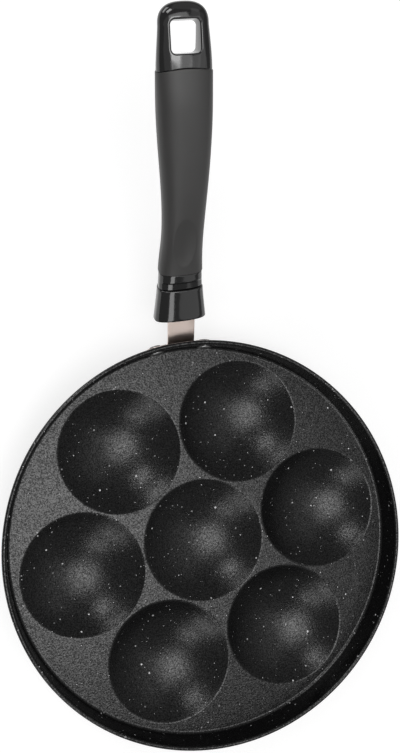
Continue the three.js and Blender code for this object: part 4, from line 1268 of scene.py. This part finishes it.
def loop_side(side, ray_steps=24, edge_steps=7):
    """Rows of points from the outline to the hole's wall on one side of the loop: 0 top, 1 below."""
    sign = 1 - 2 * side
    before = pillow(hole_outline + hole_normal * (1 - TILT_SPAN) * HOLE_EDGE)[side]
    after = pillow(hole_outline + hole_normal * (1 + TILT_SPAN) * HOLE_EDGE)[side]
    tilt = np.arctan((before - after) / (2 * TILT_SPAN * HOLE_EDGE))
    start = hole_outline + hole_normal * (HOLE_EDGE * (1 + np.sin(tilt)))[:, None]
    rows = []
    for share in np.sin(np.linspace(pi / 2, 0, ray_steps + 1)):
        plan = start + (loop_outline - start) * share
        height = sign * pillow(plan)[side]
        swept = seam_sweep(plan[:, 1]) * (plan[:, 0] / skin(plan[:, 1], SLEEVE_PROUD)[0]) ** 2
        along = plan[:, 1] - swept * share + height * HOLE_SHEAR * (1 - share)
        rows.append(np.stack([plan[:, 0], along, height], axis=1))
    centre = pillow(start)[side] - HOLE_EDGE * np.cos(tilt)
    for part in np.linspace(0, 1, edge_steps + 1)[1:]:
        angle = (pi / 2 - tilt) * (1 - part) + pi * part
        plan = hole_outline + hole_normal * (HOLE_EDGE * (1 + np.cos(angle)))[:, None]
        height = sign * (centre + HOLE_EDGE * np.sin(angle))
        rows.append(np.column_stack([plan[:, 0], plan[:, 1] + height * HOLE_SHEAR, height]))
    return rows


loop_rows = loop_side(0) + loop_side(1)[::-1]
loop_points = np.concatenate(loop_rows)
loop_faces = loft_faces(len(loop_rows), len(loop_outline))
print("points of the loop:", len(loop_points))

# %% Make the core
shaft_points = np.concatenate([*core_rings, [core_rings[0].mean(axis=0)]])
shaft_faces = loft_faces(len(core_rings), HANDLE_SIDES)
shaft_faces += [(len(shaft_points) - 1, b, a) for a, b in loop_edges(0, HANDLE_SIDES)]
core_points = np.concatenate([shaft_points, loop_points])
core_faces = shaft_faces + [tuple(len(shaft_points) + corner for corner in face) for face in loop_faces]
core = mesh_object("neck_and_loop", core_points, core_faces)
close_up(core, sharp_angle=50, merge=0.01)
bore_top = POCKET_FLOOR + CLEARANCE
core_bore = round_cutter("core_bore", SCREW_RADIUS + HOLE_CLEARANCE, BELOW_CORE, bore_top)
cut(core, [pocket_cutter(), core_bore])
bend(core, moulding)
hand_over(core, "handle_core", sharp_angle=40)

# %% [markdown]
# ## The soft sleeve
# The sleeve is a soft skin moulded over the core. It stands a little proud of the neck and the loop,
# its two ends are rounded, and a shallow oval dish in its top tells the thumb where to lie. It is a
# tube, so the loft runs along the outside, round the end, back along the inside and closes.

# %% Make the sleeve
SLEEVE_SIDES = 160
SLEEVE_EDGE = 0.3
SLEEVE_FIRST = 1.0
SLEEVE_STEP = 0.8
THUMB_AT = 51.5
THUMB_HALF_LENGTH = 15.5
THUMB_HALF_WIDTH = 6.6
THUMB_DEPTH = 1.7
THUMB_SOFTNESS = 0.05


def thumb_dish(points):
    """Lower the skin inside an oval; the border is crisp, but not a knife edge."""
    across = points[:, 0] / THUMB_HALF_WIDTH
    along = (points[:, 1] - THUMB_AT) / THUMB_HALF_LENGTH
    room = 1 - across**2 - along**2
    soft = (room + np.sqrt(room**2 + THUMB_SOFTNESS**2)) / 2
    dished = points.copy()
    dished[:, 2] -= np.where(points[:, 2] > 0, THUMB_DEPTH * soft, 0.0)
    return dished


def sleeve_ring(at, inset):
    return ring(at, skin(at, inset), sides=SLEEVE_SIDES)


end_round = rounded_edge(6)
sleeve_rings = [sleeve_ring(SLEEVE_START + SLEEVE_EDGE * a, SLEEVE_EDGE * i) for a, i in end_round]
body_at = np.arange(SLEEVE_START + SLEEVE_FIRST, SLEEVE_END - SLEEVE_EDGE, SLEEVE_STEP)
sleeve_rings += [thumb_dish(sleeve_ring(at, 0.0)) for at in body_at]
sleeve_rings += [sleeve_ring(SLEEVE_END - SLEEVE_EDGE * a, SLEEVE_EDGE * i) for a, i in reversed(end_round)]
sleeve_rings += [sleeve_ring(at, SLEEVE_THICKNESS) for at in np.linspace(SLEEVE_END, SLEEVE_START, 20)]
sleeve_faces = loft_faces(len(sleeve_rings), SLEEVE_SIDES, closed=True)
sleeve = mesh_object("soft_sleeve", np.concatenate(sleeve_rings), sleeve_faces)
bend(sleeve, soft_skin)
hand_over(sleeve, "grip_sleeve", sharp_angle=60)

# %% [markdown]
# ## Screw, washer and nut
# The screw comes from below and can only be seen in its sink under the guard. It is turned from a
# profile and slotted. The split washer and the square nut are plain parts that the solids already
# show well, so they stay and only take the plated finish.

# %% Make the screw
SCREW_HEAD_TOP = -11.5
SCREW_HEAD_HEIGHT = 2.2
SCREW_DOME = 1.1
SCREW_CHAMFER = 0.6
SLOT_WIDTH = 1.2
SLOT_DEPTH = 1.0

screw_foot = SCREW_HEAD_TOP - SCREW_HEAD_HEIGHT
screw_tip = TONGUE_TOP - SHEET / 2
screw_profile = [
    *dome(SCREW_HEAD_RADIUS, screw_foot + SCREW_DOME, SCREW_DOME, -90, 0),
    (SCREW_HEAD_RADIUS, SCREW_HEAD_TOP),
    (SCREW_RADIUS, SCREW_HEAD_TOP),
    (SCREW_RADIUS, screw_tip - SCREW_CHAMFER),
    (SCREW_RADIUS - SCREW_CHAMFER, screw_tip),
    (0.0, screw_tip),
]
screw = turned_piece("slotted_screw", screw_profile, plated_steel, [(0.0, SCREW_FROM_MOUTH, 0.0)])
close_up(screw, sharp_angle=40)
slot_low = (-2 * SCREW_HEAD_RADIUS, SCREW_FROM_MOUTH - SLOT_WIDTH / 2, screw_foot - SLOT_DEPTH)
slot_high = (2 * SCREW_HEAD_RADIUS, SCREW_FROM_MOUTH + SLOT_WIDTH / 2, screw_foot + SLOT_DEPTH)
cut(screw, [block_cutter("screw_slot", slot_low, slot_high)])
bend(screw, plated_steel)
hand_over(screw, "handle_screw", sharp_angle=40)
drop(route)

for node in ("lock_washer", "tongue_nut"):
    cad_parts[node].data.materials.clear()
    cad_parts[node].data.materials.append(plated_steel)

# %% [markdown]
# ## Floor and light
# The pan stands on a white table. Its black wells are bowl-shaped mirrors, so the bright patches in
# them show where the lamps stood: a scrim and a softbox overhead, two softboxes behind on the left,
# two in front on the left, and two dim screens on the right. The front pair is flagged off the
# handle, which has lamps and cards of its own; light linking does what flags do in a studio. The
# surroundings stay dim, so that black gloss stays black, and the table glows white for the camera and
# in reflections.

# %% Lay the floor
TABLE_GLOW = 0.72
TABLE_HALF = 4000

corners = ((-1, -1), (1, -1), (1, 1), (-1, 1))
floor_points = [(TABLE_HALF * x, TABLE_HALF * y, 0) for x, y in corners]
floor = mesh_object("white_table", floor_points, [(0, 1, 2, 3)])
table_paint, tree, shader, place = finish("table_paint", roughness=0.9, specular=0.0)
mottle = grain(tree, place, size_mm=60.0)
paint(tree, shader, mottle, (0.44, 0.44, 0.44), (0.46, 0.46, 0.46))
shader.inputs["Emission Color"].default_value = (1.0, 1.0, 1.0, 1.0)
path = tree.nodes.new("ShaderNodeLightPath").outputs
seen = maths(tree, "MAXIMUM", path["Is Camera Ray"], path["Is Glossy Ray"])
tree.links.new(maths(tree, "MULTIPLY", seen, TABLE_GLOW), shader.inputs["Emission Strength"])
floor.data.materials.append(table_paint)
print("table laid at z = 0")

# %% Set the lamps
LIGHT_CENTRE = Vector((0.0, 0.03, 0.03))
LAMP_DISTANCE = 1.3
SURROUNDINGS = 0.22


def softbox(name, azimuth, elevation, width, height, radiance, distance=LAMP_DISTANCE):
    """A softbox that faces the pan: its direction in degrees, its size in metres."""
    data = bpy.data.lights.new(name, "AREA")
    data.shape = "RECTANGLE"
    data.size = width
    data.size_y = height
    data.energy = radiance * pi * width * height
    lamp = object_of(name, data)
    a = radians(azimuth)
    e = radians(elevation)
    way = Vector((cos(e) * cos(a), cos(e) * sin(a), sin(e)))
    lamp.location = LIGHT_CENTRE + distance * way
    lamp.rotation_euler = way.to_track_quat("Z", "Y").to_euler()
    return lamp


softbox("overhead_scrim", -80, 82, 0.85, 0.85, 1.7, distance=1.35)
softbox("overhead_softbox", -95, 81, 0.5, 0.5, 1.9)
softbox("back_high_softbox", 121, 56, 0.36, 0.28, 5.2)
softbox("back_low_softbox", 123, 27, 0.56, 0.44, 3.3)
softbox("right_high_screen", -5, 60, 1.4, 0.45, 0.36)
softbox("right_low_screen", -15, 44, 1.4, 0.5, 0.15)


def only_for(group, pieces, lamps):
    """Let some lamps light these pieces alone, as flags do in a studio."""
    lit = bpy.data.collections.new(group)
    for piece in pieces:
        lit.objects.link(piece)
    for lamp in lamps:
        lamp.light_linking.receiver_collection = lit


pan_lamps = [
    softbox("front_high_softbox", -115, 44, 0.42, 0.2, 3.8),
    softbox("front_low_softbox", -125, 25, 0.54, 0.36, 2.0),
]
only_for("lit_by_pan_lamps", [pan, floor, *rivets], pan_lamps)
handle_lamps = [
    softbox("handle_card", -42, 38, 1.4, 1.2, 0.52),
    softbox("handle_strip", -98, 32, 0.3, 0.9, 2.9),
    softbox("handle_top_softbox", -100, 79, 0.45, 0.45, 3.1),
    softbox("handle_back_card", 65, 42, 1.2, 1.0, 0.2),
    softbox("handle_left_card", -152, 58, 0.8, 0.7, 0.24),
]
only_for("lit_by_handle_lamps", [bracket, guard, core, sleeve], handle_lamps)

world = bpy.data.worlds.new("studio")
world.use_nodes = True
scene.world = world
sky = world.node_tree
rays = sky.nodes.new("ShaderNodeLightPath")
background = sky.nodes["Background"]
background.inputs["Color"].default_value = (1.0, 1.0, 1.0, 1.0)
brightness = spread(sky, rays.outputs["Is Camera Ray"], 0.0, 1.0, SURROUNDINGS, 1.0)
sky.links.new(brightness, background.inputs["Strength"])
